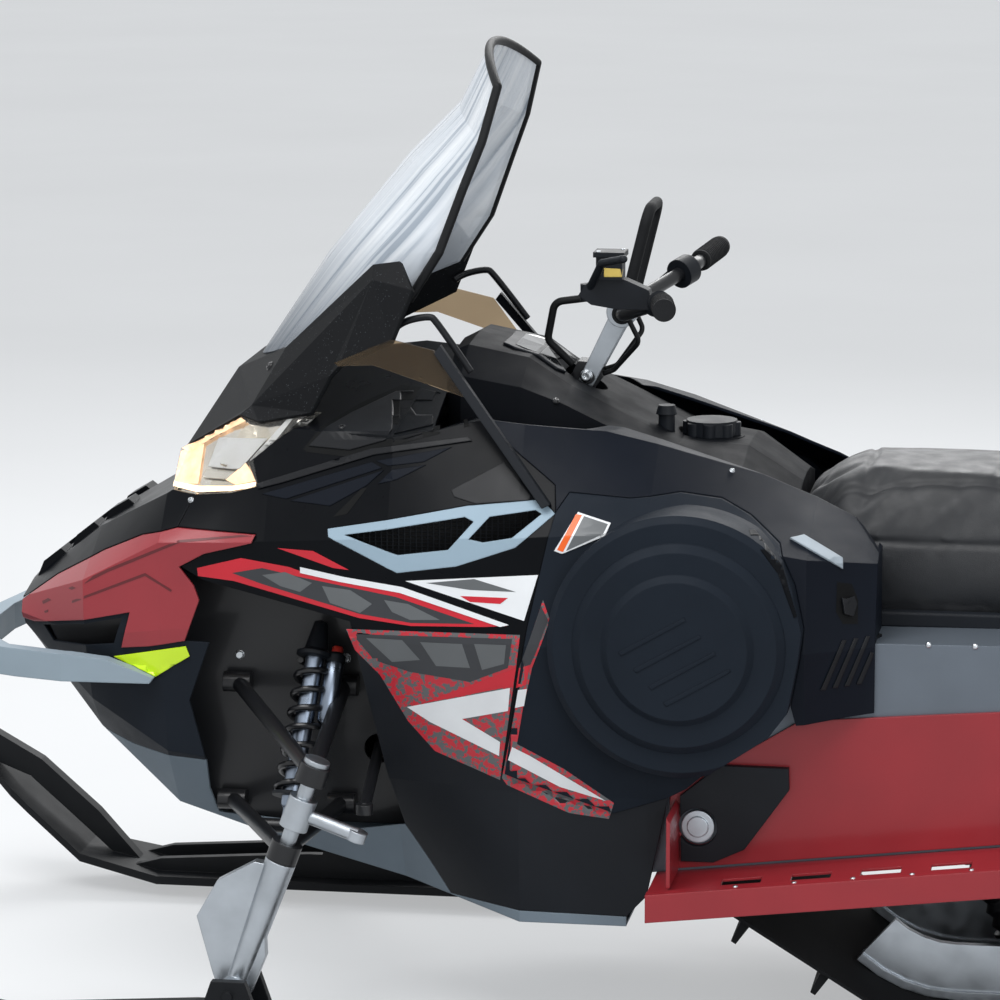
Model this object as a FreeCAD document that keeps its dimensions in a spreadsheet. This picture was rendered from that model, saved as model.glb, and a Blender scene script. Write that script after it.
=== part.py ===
import FreeCAD, Part
import math
import os

import Sketcher

from FreeCAD import Vector

# Snowmobile, millimetres. +X is forward, +Y is the rider's left, +Z is up, and the ground is at zero height.
# The origin is under the middle of the machine.

os.makedirs("parts", exist_ok=True)
doc = FreeCAD.newDocument("Snowmobile")

# Sizes
SIZES = [
    ("track_width", 600, "width of the track belt"),
    ("belt_thick", 6, "rubber belt"),
    ("lug_height", 38, "height of the paddles"),
    ("lug_foot", 16, "length of a paddle along the belt"),
    ("lug_rows", 54, "rows of paddles round the loop"),
    ("drive_x", 325, "drive axle, forward"),
    ("drive_z", 352, "drive axle, height"),
    ("drive_r", 95, "drive sprocket to the inside of the belt"),
    ("drive_axle_r", 16, "drive axle"),
    ("sprocket_in", 90, "inner sprockets from the centre"),
    ("sprocket_out", 225, "outer sprockets from the centre"),
    ("sprocket_width", 24, "drive sprocket"),
    ("axle_cap_r", 25, "end caps of the drive axle"),
    ("wheel_gap", 0.5, "wheel or sprocket to the belt"),
    ("rim", 14, "rim and hub walls of the idler wheels"),
    ("web", 8, "web of the idler wheels"),
    ("idler_x", -1262, "rear idler axle"),
    ("idler_r", 100, "rear idler wheel"),
    ("idler_axle_r", 12, "rear idler axle"),
    ("idler_width", 28, "rear idler wheel"),
    ("idler_in", 75, "inner idler wheels from the centre"),
    ("idler_out", 215, "outer idler wheels from the centre"),
    ("idler_reach", 245, "half length of the rear idler axle"),
    ("carrier_x", -480, "upper carrier wheel, forward"),
    ("carrier_z", 392, "upper carrier wheel, height"),
    ("carrier_r", 62, "upper carrier wheel"),
    ("carrier_axle_r", 9, "upper carrier axle"),
    ("carrier_width", 26, "upper carrier wheel"),
    ("carrier_in", 75, "inner carrier wheels from the centre"),
    ("carrier_out", 230, "outer carrier wheels from the centre"),
    ("carrier_reach", 290, "half length of the carrier axle"),
    ("bogie_r", 70, "bogie wheel"),
    ("bogie_axle_r", 10, "bogie axle"),
    ("rail_nose_x", -60, "front end of the flat run of the rails"),
    ("rail_nose_r", 230, "upward bend of the rails"),
    ("rail_y", 150, "slide rail from the centre"),
    ("rail_thick", 12, "slide rail plate"),
    ("rail_height", 75, "slide rail plate height"),
    ("shoe_height", 14, "wear shoe under a rail"),
    ("tunnel_gap", 20, "track edge to tunnel wall"),
    ("tunnel_wall", 3, "tunnel sheet"),
    ("tunnel_top", 640, "height of the tunnel roof at its front"),
    ("tunnel_front", 520, "front wall of the tunnel"),
    ("tunnel_rear", -1450, "rear end of the tunnel"),
    ("tunnel_lift", 20, "rise of the tunnel roof to its rear"),
    ("tunnel_slope", 150, "length of the roof's slope at the front"),
    ("tunnel_chin", 120, "height of the roof's slope at the front"),
    ("board_z", 275, "running board height at its front end"),
    ("board_front", 389, "front end of the running board"),
    ("board_rear", -1350, "rear end of the running board"),
    ("board_climb", 0.1157, "climb of the boards to the rear, per length"),
    ("board_edge_y", 470, "outer edge of the running board"),
    ("board_sheet", 4, "running board sheet"),
    ("edge_height", 43, "outer rail of the running board"),
    ("edge_width", 22, "outer rail of the running board"),
    ("slot_length", 60, "snow hole in a running board"),
    ("slot_width", 34, "snow hole in a running board"),
    ("slot_pitch", 105, "spacing of the snow holes"),
    ("slot_count", 14, "snow holes in a row"),
    ("guard_thick", 6, "toe guard plate"),
    ("skin", 5, "wall of the body panels"),
    ("seam", 0.8, "gap between two body panels"),
    ("ski_stance", 975, "distance between the ski centres"),
    ("ski_width", 185, "ski"),
    ("ski_tip_x", 1670, "front end of the skis"),
    ("ski_tail_x", 560, "rear end of the skis"),
    ("ski_sole", 14, "thickness of the ski"),
    ("keel_height", 22, "keel and wear rod under the ski"),
    ("ski_bolt_x", 1015, "ski bolt, forward"),
    ("ski_bolt_z", 112, "ski bolt, height"),
    ("ski_bolt_r", 8, "ski bolt"),
    ("kingpin_r", 12, "kingpin"),
    ("kingpin_lean", 20, "degrees that the kingpins lean back"),
    ("kingpin_gap", 0.3, "kingpin to its bush"),
    ("bush_r", 24, "outer end of an A-arm"),
    ("lower_bush", 215, "lower bush along the kingpin from the ski bolt"),
    ("upper_bush", 345, "upper bush along the kingpin from the ski bolt"),
    ("bush_height", 30, "length of a bush"),
    ("arm_tube_r", 12, "A-arm tube"),
    ("engine_rear", 540, "engine block, rear end"),
    ("engine_front", 800, "engine block, front end"),
    ("engine_half", 165, "engine block, half width"),
    ("engine_top", 590, "engine block, height of its top"),
    ("frame_half", 175, "half width of the front frame"),
    ("frame_floor", 296, "underside of the front frame"),
    ("frame_plate", 6, "plates of the front frame"),
    ("steer_arm", 95, "steering arm from the kingpin"),
    ("tie_rod_r", 9, "tie rod"),
    ("column_r", 14, "steering column"),
    ("column_gap", 6, "steering column to what it passes"),
    ("column_top_x", 540, "upper end of the column, forward"),
    ("column_top_z", 1007, "upper end of the column, height"),
    ("column_low_x", 930, "lower end of the column, forward"),
    ("column_low_z", 519, "lower end of the column, height"),
    ("pitman", 78, "pitman arm on the column"),
    ("bar_half", 370, "half width of the handlebar"),
    ("bar_r", 11, "handlebar tube"),
    ("grip_r", 17, "handlebar grip"),
    ("grip_length", 125, "handlebar grip"),
    ("bulge_x", 345, "centre of the drive cover, forward"),
    ("bulge_z", 650, "centre of the drive cover, height"),
    ("bulge_r", 200, "drive cover, outer step"),
    ("cover_step", 4, "drive cover proud of the side panels"),
    ("fender_step", 5, "nose fender proud of the nose"),
    ("vent_floor", 283, "screen behind a vent, from the centre"),
    ("cap_r", 46, "fuel cap"),
    ("cap_height", 24, "fuel cap"),
    ("cap_x", 346, "fuel cap, forward"),
    ("cap_z", 901, "top of the filler neck"),
    ("cap_gap", 0.3, "fuel cap to the filler neck"),
    ("lobe_r", 10, "lobe of the fuel cap"),
    ("lobe_count", 8, "lobes of the fuel cap"),
    ("pane", 4, "windshield pane"),
    ("trim_r", 7, "edge trim of the windshield"),
    ("rear_x", -1670, "rear end of the machine"),
    ("flap_half", 270, "half width of the snow flap"),
    ("flap_thick", 6, "snow flap"),
    ("flap_top", 500, "snow flap, upper edge"),
    ("flap_foot", 210, "snow flap, lower edge"),
    ("flap_reach", 150, "snow flap behind the tunnel"),
    ("tongue_reach", 110, "hitch tongue behind the tunnel"),
    ("tongue_half", 35, "half width of the hitch tongue"),
    ("tongue_low", 520, "underside of the hitch tongue"),
    ("tongue_thick", 12, "hitch tongue"),
    ("pin_x", 82, "hitch pin hole behind the tunnel"),
    ("pin_r", 10, "hitch pin hole"),
    ("lamp_half", 90, "half width of the tail lamp"),
    ("lamp_low", 585, "underside of the tail lamp"),
    ("lamp_high", 40, "height of the tail lamp"),
    ("lamp_deep", 22, "depth of the tail lamp"),
]
sheet = doc.addObject("Spreadsheet::Sheet", "Sizes")
for row, (alias, value, note) in enumerate(SIZES, 1):
    sheet.set(f"A{row}", alias)
    sheet.set(f"B{row}", str(value))
    sheet.set(f"C{row}", note)
    sheet.setAlias(f"B{row}", alias)
doc.recompute()


def size(alias):
    return float(getattr(sheet, alias))


# Shapes used all over the machine
def block(x0, x1, y0, y1, z0, z1):
    return Part.makeBox(x1 - x0, y1 - y0, z1 - z0, Vector(x0, y0, z0))


def rod(start, end, radius):
    start, end = Vector(*start), Vector(*end)
    return Part.makeCylinder(radius, (end - start).Length, start, end - start)


def ring(start, end, outer, inner):
    return rod(start, end, outer).cut(rod(start, end, inner))


def side_face(outline, y=0):
    return Part.Face(Part.makePolygon([Vector(x, y, z) for x, z in outline + outline[:1]]))


def side_plate(outline, y0, y1):
    """A plate with its outline in side view, between two distances from the centre."""
    return side_face(outline, y0).extrude(Vector(0, y1 - y0, 0))


def front_plate(outline, x0, x1):
    """A bar with its outline in front view."""
    face = Part.Face(Part.makePolygon([Vector(x0, y, z) for y, z in outline + outline[:1]]))
    return face.extrude(Vector(x1 - x0, 0, 0))


def top_plate(outline, z0, z1):
    face = Part.Face(Part.makePolygon([Vector(x, y, z0) for x, y in outline + outline[:1]]))
    return face.extrude(Vector(0, 0, z1 - z0))


def bent_tube(points, radius, bend):
    """A round tube of straight runs and the tangent bends between them."""
    points = [Vector(*p) for p in points]
    runs = []
    last = points[0]
    for before, corner, after in zip(points, points[1:], points[2:]):
        inward = (before - corner).normalize()
        outward = (after - corner).normalize()
        half = inward.getAngle(outward) / 2
        setback = bend / math.tan(half)
        centre = corner + (inward + outward).normalize() * (bend / math.sin(half))
        start, end = corner + inward * setback, corner + outward * setback
        section = Part.Face(Part.Wire(Part.makeCircle(radius, start, inward)))
        axis = (start - centre).cross(end - centre)
        runs.append(rod(tuple(last), tuple(start), radius))
        runs.append(section.revolve(centre, axis, 180 - math.degrees(2 * half)))
        last = end
    runs.append(rod(tuple(last), tuple(points[-1]), radius))
    return joined(runs)


def mirrored(shape):
    return shape.mirror(Vector(0, 0, 0), Vector(0, 1, 0))


def joined(shapes):
    return shapes[0].fuse(shapes[1:]).removeSplitter()


nodes = []


def feature(name, shape):
    made = doc.addObject("Part::Feature", name)
    made.Shape = shape
    return made


def keep_object(node, made):
    made.Label = node
    nodes.append(made)


def keep(node, shape):
    """One sub-part as a feature of the document."""
    keep_object(node, feature(node, shape))
    return shape


def mirror_of(name, source):
    made = doc.addObject("Part::Mirroring", name)
    made.Source = source
    made.Normal = Vector(0, 1, 0)
    return made


def keep_sides(node, left):
    """Two sub-parts, the left one and its mirror image."""
    source = feature(node + "_left", left)
    keep_object(node + "_left", source)
    keep_object(node + "_right", mirror_of(node + "_right", source))


def keep_both(node, left):
    """One sub-part of a left solid and its mirror image; left is a shape or an object of the document."""
    if isinstance(left, Part.Shape):
        left = feature(node + "_side", left)
    both = doc.addObject("Part::Compound", node)
    both.Links = [left, mirror_of(node + "_mirror", left)]
    keep_object(node, both)


def body_sketch(body, name, plane, corners):
    """A closed outline in a sketch; each corner is a pair of expressions on the sheet."""
    sketch = body.newObject("Sketcher::SketchObject", name)
    support = next(item for item in body.Origin.OriginFeatures if item.Role == plane)
    sketch.AttachmentSupport = (support, [""])
    sketch.MapMode = "FlatFace"
    spots = [Vector(float(sketch.evalExpression(u)), float(sketch.evalExpression(v)), 0) for u, v in corners]
    sketch.addGeometry([Part.LineSegment(a, b) for a, b in zip(spots, spots[1:] + spots[:1])])
    for k in range(len(spots)):
        sketch.addConstraint(Sketcher.Constraint("Coincident", k, 2, (k + 1) % len(spots), 1))
    for k, (corner, spot) in enumerate(zip(corners, spots)):
        for kind, expression, value in (("DistanceX", corner[0], spot.x), ("DistanceY", corner[1], spot.y)):
            index = sketch.addConstraint(Sketcher.Constraint(kind, -1, 1, k, 1, value))
            sketch.setExpression(f"Constraints[{index}]", expression)
    return sketch


def circle_sketch(body, name, plane, centre, radius):
    """A circle in a sketch, its centre and radius bound to the sheet."""
    sketch = body.newObject("Sketcher::SketchObject", name)
    support = next(item for item in body.Origin.OriginFeatures if item.Role == plane)
    sketch.AttachmentSupport = (support, [""])
    sketch.MapMode = "FlatFace"
    u, v, r = (float(sketch.evalExpression(text)) for text in (*centre, radius))
    sketch.addGeometry(Part.Circle(Vector(u, v, 0), Vector(0, 0, 1), r))
    for constraint, expression in (
        (Sketcher.Constraint("DistanceX", -1, 1, 0, 3, u), centre[0]),
        (Sketcher.Constraint("DistanceY", -1, 1, 0, 3, v), centre[1]),
        (Sketcher.Constraint("Radius", 0, r), radius),
    ):
        index = sketch.addConstraint(constraint)
        sketch.setExpression(f"Constraints[{index}]", expression)
    return sketch


def extrusion(body, kind, name, sketch, length, midplane=True):
    """A Pad or a Pocket of one sketch; its length is an expression on the sheet."""
    made = body.newObject("PartDesign::" + kind, name)
    made.Profile = sketch
    made.Midplane = midplane
    made.setExpression("Length", length)
    return made


def rotation(body, sketch):
    made = body.newObject("PartDesign::Revolution", "Turned")
    made.Profile = sketch
    made.ReferenceAxis = (sketch, ["V_Axis"])
    made.Angle = 360
    return made


def place(body, x, y, z):
    for axis, expression in zip("xyz", (x, y, z)):
        body.setExpression("Placement.Base." + axis, expression)


def sheet_box(node, x0, x1, half, z0, z1):
    """A box across the centre line between faces given as expressions."""
    box = doc.addObject("Part::Box", node)
    box.setExpression("Length", f"({x1}) - ({x0})")
    box.setExpression("Width", f"2 * ({half})")
    box.setExpression("Height", f"({z1}) - ({z0})")
    place(box, x0, f"-({half})", z0)
    keep_object(node, box)


# Track: a convex loop round the sprockets, the rails' front bend, the rear idlers and the carrier wheels
BELT = size("belt_thick")
LUG = size("lug_height")
HALF_TRACK = size("track_width") / 2
GROUND_RUN = LUG + BELT
DRIVE = Vector(size("drive_x"), 0, size("drive_z"))
IDLER = Vector(size("idler_x"), 0, GROUND_RUN + size("idler_r"))
CARRIER = Vector(size("carrier_x"), 0, size("carrier_z"))
RAIL_NOSE = Vector(size("rail_nose_x"), 0, GROUND_RUN + size("rail_nose_r"))
LOOP_CIRCLES = [
    (DRIVE, size("drive_r")),
    (CARRIER, size("carrier_r")),
    (IDLER, size("idler_r")),
    (RAIL_NOSE, size("rail_nose_r")),
]


def turned(vector, angle):
    """A vector in side view, turned from +X towards +Z."""
    c, s = math.cos(angle), math.sin(angle)
    return Vector(vector.x * c - vector.z * s, 0, vector.x * s + vector.z * c)


def tangent_normals(circles):
    """The outward normal of each straight run of a belt round circles listed counter-clockwise."""
    normals = []
    for (c0, r0), (c1, r1) in zip(circles, circles[1:] + circles[:1]):
        along = c1 - c0
        lean = math.asin((r0 - r1) / along.Length)
        normals.append(turned(along.normalize(), lean - math.pi / 2))
    return normals


def loop_pieces(offset):
    """Straight and round stretches of the loop, each as start, middle and end point."""
    normals = tangent_normals(LOOP_CIRCLES)
    pieces = []
    for i, (centre, radius) in enumerate(LOOP_CIRCLES):
        before, after = normals[i - 1], normals[i]
        reach = radius + offset
        nxt, nxt_radius = LOOP_CIRCLES[(i + 1) % len(LOOP_CIRCLES)]
        middle = (before + after).normalize()
        pieces.append((centre + before * reach, centre + middle * reach, centre + after * reach))
        pieces.append((centre + after * reach, None, nxt + after * (nxt_radius + offset)))
    return pieces


def loop_face(offset):
    edges = []
    for start, middle, end in loop_pieces(offset):
        if middle is None:
            edges.append(Part.makeLine(start, end))
        else:
            edges.append(Part.Arc(start, middle, end).toShape())
    return Part.Face(Part.Wire(edges))


def loop_stations(offset, count):
    """Evenly spaced points along the loop with their outward normals."""
    wire = Part.Wire(loop_face(offset).OuterWire.Edges)
    stations = []
    for point in wire.discretize(Number=count + 1)[:count]:
        nearest = min(
            ((wire_edge.Curve.parameter(point), wire_edge) for wire_edge in wire.Edges),
            key=lambda pair: (pair[1].Curve.value(pair[0]) - point).Length + off_edge(pair[1], point),
        )
        tangent = nearest[1].tangentAt(nearest[0])
        normal = Vector(tangent.z, 0, -tangent.x)
        if normal.dot(point - Vector(-450, 0, 250)) < 0:
            normal = -normal
        stations.append((point, normal))
    return stations


def off_edge(edge, point):
    return edge.distToShape(Part.Vertex(point))[0]


def track():
    belt = loop_face(BELT).cut(loop_face(0)).extrude(Vector(0, 2 * HALF_TRACK, 0))
    belt.translate(Vector(0, -HALF_TRACK, 0))
    half_foot = size("lug_foot") / 2
    bands = [(-0.96, -0.42), (-0.30, 0.30), (0.42, 0.96)]
    lugs = []
    for row, (point, normal) in enumerate(loop_stations(BELT, int(size("lug_rows")))):
        along = Vector(normal.z, 0, -normal.x)
        foot = point - normal * (BELT / 2)
        tip = point + normal * LUG
        corners = [foot - along * half_foot, foot + along * half_foot,
                   tip + along * half_foot * 0.55, tip - along * half_foot * 0.55]
        for band, (start, end) in enumerate(bands):
            if (row + band) % 2:
                continue
            lug = side_plate([(c.x, c.z) for c in corners], start * HALF_TRACK, end * HALF_TRACK)
            lugs.append(lug)
    return belt.fuse(lugs)


keep("track", track())

# Tunnel, with its roof and boards climbing to the rear
TUNNEL_IN = HALF_TRACK + size("tunnel_gap")
TUNNEL_OUT = TUNNEL_IN + size("tunnel_wall")
IN_TEXT = "(Sizes.track_width / 2 + Sizes.tunnel_gap)"
OUT_TEXT = "(Sizes.track_width / 2 + Sizes.tunnel_gap + Sizes.tunnel_wall)"
AXLE_R = size("drive_axle_r")
RUNNING_GAP = 0.3


def board_height(x):
    return size("board_z") + (size("board_front") - x) * size("board_climb")


def board_text(x):
    """The height of the boards as an expression on the sheet."""
    return f"Sizes.board_z + (Sizes.board_front - ({x})) * Sizes.board_climb"


def tunnel_text(shrink, foot, past):
    """Corners of the tunnel in side view, inside its sheet, below its edge and past its rear end."""
    front = f"Sizes.tunnel_front - ({shrink})"
    rear = f"Sizes.tunnel_rear - ({past})"
    top = f"Sizes.tunnel_top - ({shrink})"
    return [
        (rear, f"{board_text('Sizes.tunnel_rear')} - {foot}"),
        (rear, f"{top} + Sizes.tunnel_lift"),
        (f"{front} - Sizes.tunnel_slope", top),
        (f"{front} - Sizes.tunnel_slope / 2", f"{top} - Sizes.tunnel_chin / 4"),
        (front, f"{top} - Sizes.tunnel_chin"),
        (front, f"{board_text('Sizes.tunnel_front')} - {foot}"),
    ]


def tunnel():
    body = doc.addObject("PartDesign::Body", "tunnel")
    outside = body_sketch(body, "TunnelOutside", "XZ_Plane", tunnel_text("0", "0", "0"))
    extrusion(body, "Pad", "TunnelPad", outside, f"2 * {OUT_TEXT}")
    inside = body_sketch(body, "TunnelInside", "XZ_Plane", tunnel_text("Sizes.tunnel_wall", "10", "10"))
    extrusion(body, "Pocket", "TunnelRoom", inside, f"2 * {IN_TEXT}")
    hole = circle_sketch(body, "AxleHole", "XZ_Plane", ("Sizes.drive_x", "Sizes.drive_z"),
                         f"Sizes.drive_axle_r + {RUNNING_GAP}")
    extrusion(body, "Pocket", "AxlePocket", hole, f"2 * {OUT_TEXT} + 10")
    doc.recompute()
    return body


tunnel_body = tunnel()
keep_object("tunnel", tunnel_body)
TUNNEL_BODY = doc.TunnelPad.Shape.copy()


def running_board():
    """Deck with rows of snow holes, and its outer rail."""
    body = doc.addObject("PartDesign::Body", "running_board")
    front, rear = "Sizes.board_front", "Sizes.board_rear"
    deck = body_sketch(body, "Deck", "XZ_Plane", [
        (front, board_text(front)), (rear, board_text(rear)),
        (rear, board_text(rear) + " - Sizes.board_sheet"),
        (front, board_text(front) + " - Sizes.board_sheet")])
    deck_pad = extrusion(body, "Pad", "DeckPad", deck,
                         f"Sizes.board_edge_y - Sizes.edge_width - {OUT_TEXT}", False)
    deck_pad.Reversed = True
    hole_front = "Sizes.board_front - 110"
    hole_out = "Sizes.board_edge_y - Sizes.edge_width - 16"
    hole = body_sketch(body, "SnowHole", "XY_Plane", [
        (hole_front, f"{hole_out} - {OUT_TEXT}"),
        (f"{hole_front} - Sizes.slot_length", f"{hole_out} - {OUT_TEXT}"),
        (f"{hole_front} - Sizes.slot_length", f"{hole_out} - Sizes.slot_width - {OUT_TEXT}"),
        (hole_front, f"{hole_out} - Sizes.slot_width - {OUT_TEXT}")])
    pocket = extrusion(body, "Pocket", "SnowPocket", hole, "2 * Sizes.tunnel_top")
    row = body.newObject("PartDesign::LinearPattern", "SnowHoles")
    row.Originals = [pocket]
    row.Direction = (hole, ["H_Axis"])
    row.Reversed = True
    row.setExpression("Length", "Sizes.slot_pitch * (Sizes.slot_count - 1)")
    row.setExpression("Occurrences", "Sizes.slot_count")
    body.Tip = row
    place(body, "0", OUT_TEXT, "0")
    doc.recompute()
    return body


def board_rail():
    front, rear = size("board_front"), size("board_rear")
    outer = size("board_edge_y")
    high = 0.05 * size("edge_height")
    low = size("edge_height") - high
    return side_plate([(front, board_height(front) + high), (rear, board_height(rear) + high),
                       (rear, board_height(rear) - low), (front, board_height(front) - low)],
                      outer - size("edge_width"), outer)


keep_both("running_boards", joined([running_board().Shape, board_rail()]))


def toe_guard():
    """Red plate on the tunnel side above the board, with the footwell's stop at its front."""
    floor = size("board_sheet") + 1
    plate = side_plate([(369, 398), (246, 475), (172, 521), (-60, 540), (-320, 560), (-420, 520),
                        (-420, board_height(-420) + floor), (300, board_height(300) + floor),
                        (369, board_height(369) + floor)],
                       TUNNEL_OUT, TUNNEL_OUT + size("guard_thick"))
    axle = rod((DRIVE.x, 0, DRIVE.z), (DRIVE.x, 400, DRIVE.z), size("axle_cap_r") + 5)
    stop = side_plate([(360, 392), (354, 384), (354, board_height(354) + floor),
                       (360, board_height(360) + floor)],
                      TUNNEL_OUT, size("board_edge_y") - size("edge_width"))
    return joined([plate, stop]).cut(axle)


keep_both("toe_guards", toe_guard())


def axle_guard():
    """Black plate round the axle's end cap, on the toe guard."""
    low = TUNNEL_OUT + size("guard_thick")
    plate = side_plate([(292, 450), (187, 449), (186, 415), (253, 320), (300, 298), (350, 298), (352, 400)],
                       low, low + 12)
    hole = rod((DRIVE.x, 0, DRIVE.z), (DRIVE.x, 400, DRIVE.z), size("axle_cap_r") + 5)
    return plate.cut(hole)


keep_both("axle_guards", axle_guard())


def turned_axle(node, x, z, axle, reach, wheels):
    """An axle with its wheels, turned from one half outline along the machine's width."""
    body = doc.addObject("PartDesign::Body", node)
    corners = [("0", f"-({reach})"), (axle, f"-({reach})")]
    for side, across, outline in wheels:
        corners += [(r, f"{side} * ({across}) + ({y})") for r, y in outline]
    corners += [(axle, reach), ("0", reach)]
    rotation(body, body_sketch(body, node + "_outline", "XY_Plane", corners))
    place(body, x, "0", z)
    doc.recompute()
    keep_object(node, body)


def disc_outline(radius, width, axle):
    edge = f"({width}) / 2"
    return [(axle, f"-{edge}"), (radius, f"-{edge}"), (radius, edge), (axle, edge)]


def wheel_outline(radius, width, axle):
    """Hub, web and rim of an idler wheel as (radius, place along the axle)."""
    hub, rim = f"{axle} + Sizes.rim", f"{radius} - Sizes.rim"
    edge, web = f"({width}) / 2", "Sizes.web / 2"
    return [(axle, f"-{edge}"), (hub, f"-{edge}"), (hub, f"-{web}"), (rim, f"-{web}"), (rim, f"-{edge}"),
            (radius, f"-{edge}"), (radius, edge), (rim, edge), (rim, web), (hub, web), (hub, edge),
            (axle, edge)]


def four_wheels(outline, inner, outer):
    return [(-1, outer, outline), (-1, inner, outline), (1, inner, outline), (1, outer, outline)]


# Drive axle with its sprockets and end caps
sprocket = disc_outline("Sizes.drive_r - Sizes.wheel_gap", "Sizes.sprocket_width", "Sizes.drive_axle_r")
cap = [("Sizes.drive_axle_r", "-4"), ("Sizes.axle_cap_r", "-4"), ("Sizes.axle_cap_r", "4"),
       ("Sizes.drive_axle_r", "4")]
cap_place = OUT_TEXT + " + 9"
turned_axle("drive_axle", "Sizes.drive_x", "Sizes.drive_z", "Sizes.drive_axle_r", OUT_TEXT + " + 16",
            [(-1, cap_place, cap)] + four_wheels(sprocket, "Sizes.sprocket_in", "Sizes.sprocket_out")
            + [(1, cap_place, cap)])

# Rear suspension
RAIL_Y = size("rail_y")
SHOE = size("shoe_height")


def rail_outline(low, high):
    """Side view of a rail between two heights above the belt, with its front end bent up."""
    nose = RAIL_NOSE
    radius = size("rail_nose_r")
    bend = math.radians(42)
    rear = size("idler_x") - 10
    outer_arc = [nose + turned(Vector(0, 0, -(radius - low)), bend * k / 4) for k in range(5)]
    inner_arc = [nose + turned(Vector(0, 0, -(radius - high)), bend * k / 4) for k in range(5)]
    return ([(rear, GROUND_RUN + low)] + [(p.x, p.z) for p in outer_arc]
            + [(p.x, p.z) for p in reversed(inner_arc)] + [(rear, GROUND_RUN + high)])


IDLER_AXLE_R = size("idler_axle_r")


def rail(side):
    half = size("rail_thick") / 2
    plate = side_plate(rail_outline(SHOE, SHOE + size("rail_height")),
                       side * RAIL_Y - half, side * RAIL_Y + half)
    shoe = side_plate(rail_outline(0.5, SHOE), side * RAIL_Y - half - 6, side * RAIL_Y + half + 6)
    axle = rod((IDLER.x, -400, IDLER.z), (IDLER.x, 400, IDLER.z), IDLER_AXLE_R + 0.2)
    return joined([plate, shoe]).cut(axle)


BOSS_X = (-150, -560, -900)
rail_joined = []
for side in (-1, 1):
    rail_joined.append(rail(side))
cross_tubes = []
for x in BOSS_X:
    z = GROUND_RUN + SHOE + size("rail_height") / 2
    half = size("rail_thick") / 2
    cross_tubes.append(rod((x, -RAIL_Y + half, z), (x, RAIL_Y - half, z), 14))
RAILS = keep("slide_rails", joined(rail_joined + cross_tubes))


def wheel(centre, y, radius, width, hole):
    """A ribbed idler wheel: rim, web and hub."""
    wall, web = size("rim"), size("web") / 2
    near, far = (centre.x, y - width / 2, centre.z), (centre.x, y + width / 2, centre.z)
    rim = ring(near, far, radius, radius - wall)
    web = ring((centre.x, y - web, centre.z), (centre.x, y + web, centre.z), radius - wall + 1, hole + 5)
    hub = ring(near, far, hole + wall, hole)
    return joined([rim, web, hub])


idler_wheel = wheel_outline("Sizes.idler_r - Sizes.wheel_gap", "Sizes.idler_width", "Sizes.idler_axle_r")
turned_axle("rear_idlers", "Sizes.idler_x", "Sizes.lug_height + Sizes.belt_thick + Sizes.idler_r",
            "Sizes.idler_axle_r", "Sizes.idler_reach",
            four_wheels(idler_wheel, "Sizes.idler_in", "Sizes.idler_out"))
turned_axle("carrier_wheels", "Sizes.carrier_x", "Sizes.carrier_z", "Sizes.carrier_axle_r",
            "Sizes.carrier_reach",
            four_wheels(wheel_outline("Sizes.carrier_r - Sizes.wheel_gap", "Sizes.carrier_width",
                                      "Sizes.carrier_axle_r"), "Sizes.carrier_in", "Sizes.carrier_out"))
BOGIE_R = size("bogie_r")
BOGIE_AXLE_R = size("bogie_axle_r")


def bogie_wheels():
    """Outboard wheels on short axles at both rails."""
    height = GROUND_RUN + BOGIE_R + 0.5
    half = size("rail_thick") / 2
    sets = []
    for x in (-330, -730, -1060):
        for side in (-1, 1):
            y = side * (RAIL_Y + half + 21)
            stub = sorted((side * (RAIL_Y + half), y))
            axle = rod((x, stub[0], height), (x, stub[1], height), BOGIE_AXLE_R)
            sets.append(joined([wheel(Vector(x, 0, height), y, BOGIE_R, 26, BOGIE_AXLE_R), axle]))
    return Part.Compound(sets)


keep("bogie_wheels", bogie_wheels())


def swing_arm(low, high, half_low, half_high, radius):
    """Two tubes from a rail cross shaft up to a tunnel cross shaft."""
    parts = [rod((low.x, -half_low, low.z), (low.x, half_low, low.z), radius),
             rod((high.x, -half_high, high.z), (high.x, half_high, high.z), radius)]
    spread = half_low * 0.85
    middle = arm_middle(low, high)
    parts.append(rod((middle.x, -spread, middle.z), (middle.x, spread, middle.z), radius * 0.7))
    for side in (-1, 1):
        parts.append(rod((low.x, side * spread, low.z), (high.x, side * spread, high.z), radius * 0.9))
    return joined(parts)


def arm_middle(low, high):
    return low + (high - low) * 0.55


REAR_ARM_LOW = Vector(-820, 0, 190)
REAR_ARM_HIGH = Vector(-600, 0, 403)
FRONT_ARM_LOW = Vector(-240, 0, 180)
FRONT_ARM_HIGH = Vector(60, 0, 336)
ARM_CLEAR = 0.3


def rear_arm(low, high):
    return swing_arm(low, high, RAIL_Y - size("rail_thick") / 2 - ARM_CLEAR, TUNNEL_IN - ARM_CLEAR, 12)


SWING_ARMS = Part.Compound([rear_arm(REAR_ARM_LOW, REAR_ARM_HIGH), rear_arm(FRONT_ARM_LOW, FRONT_ARM_HIGH)])
keep("swing_arms", SWING_ARMS)


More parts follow.
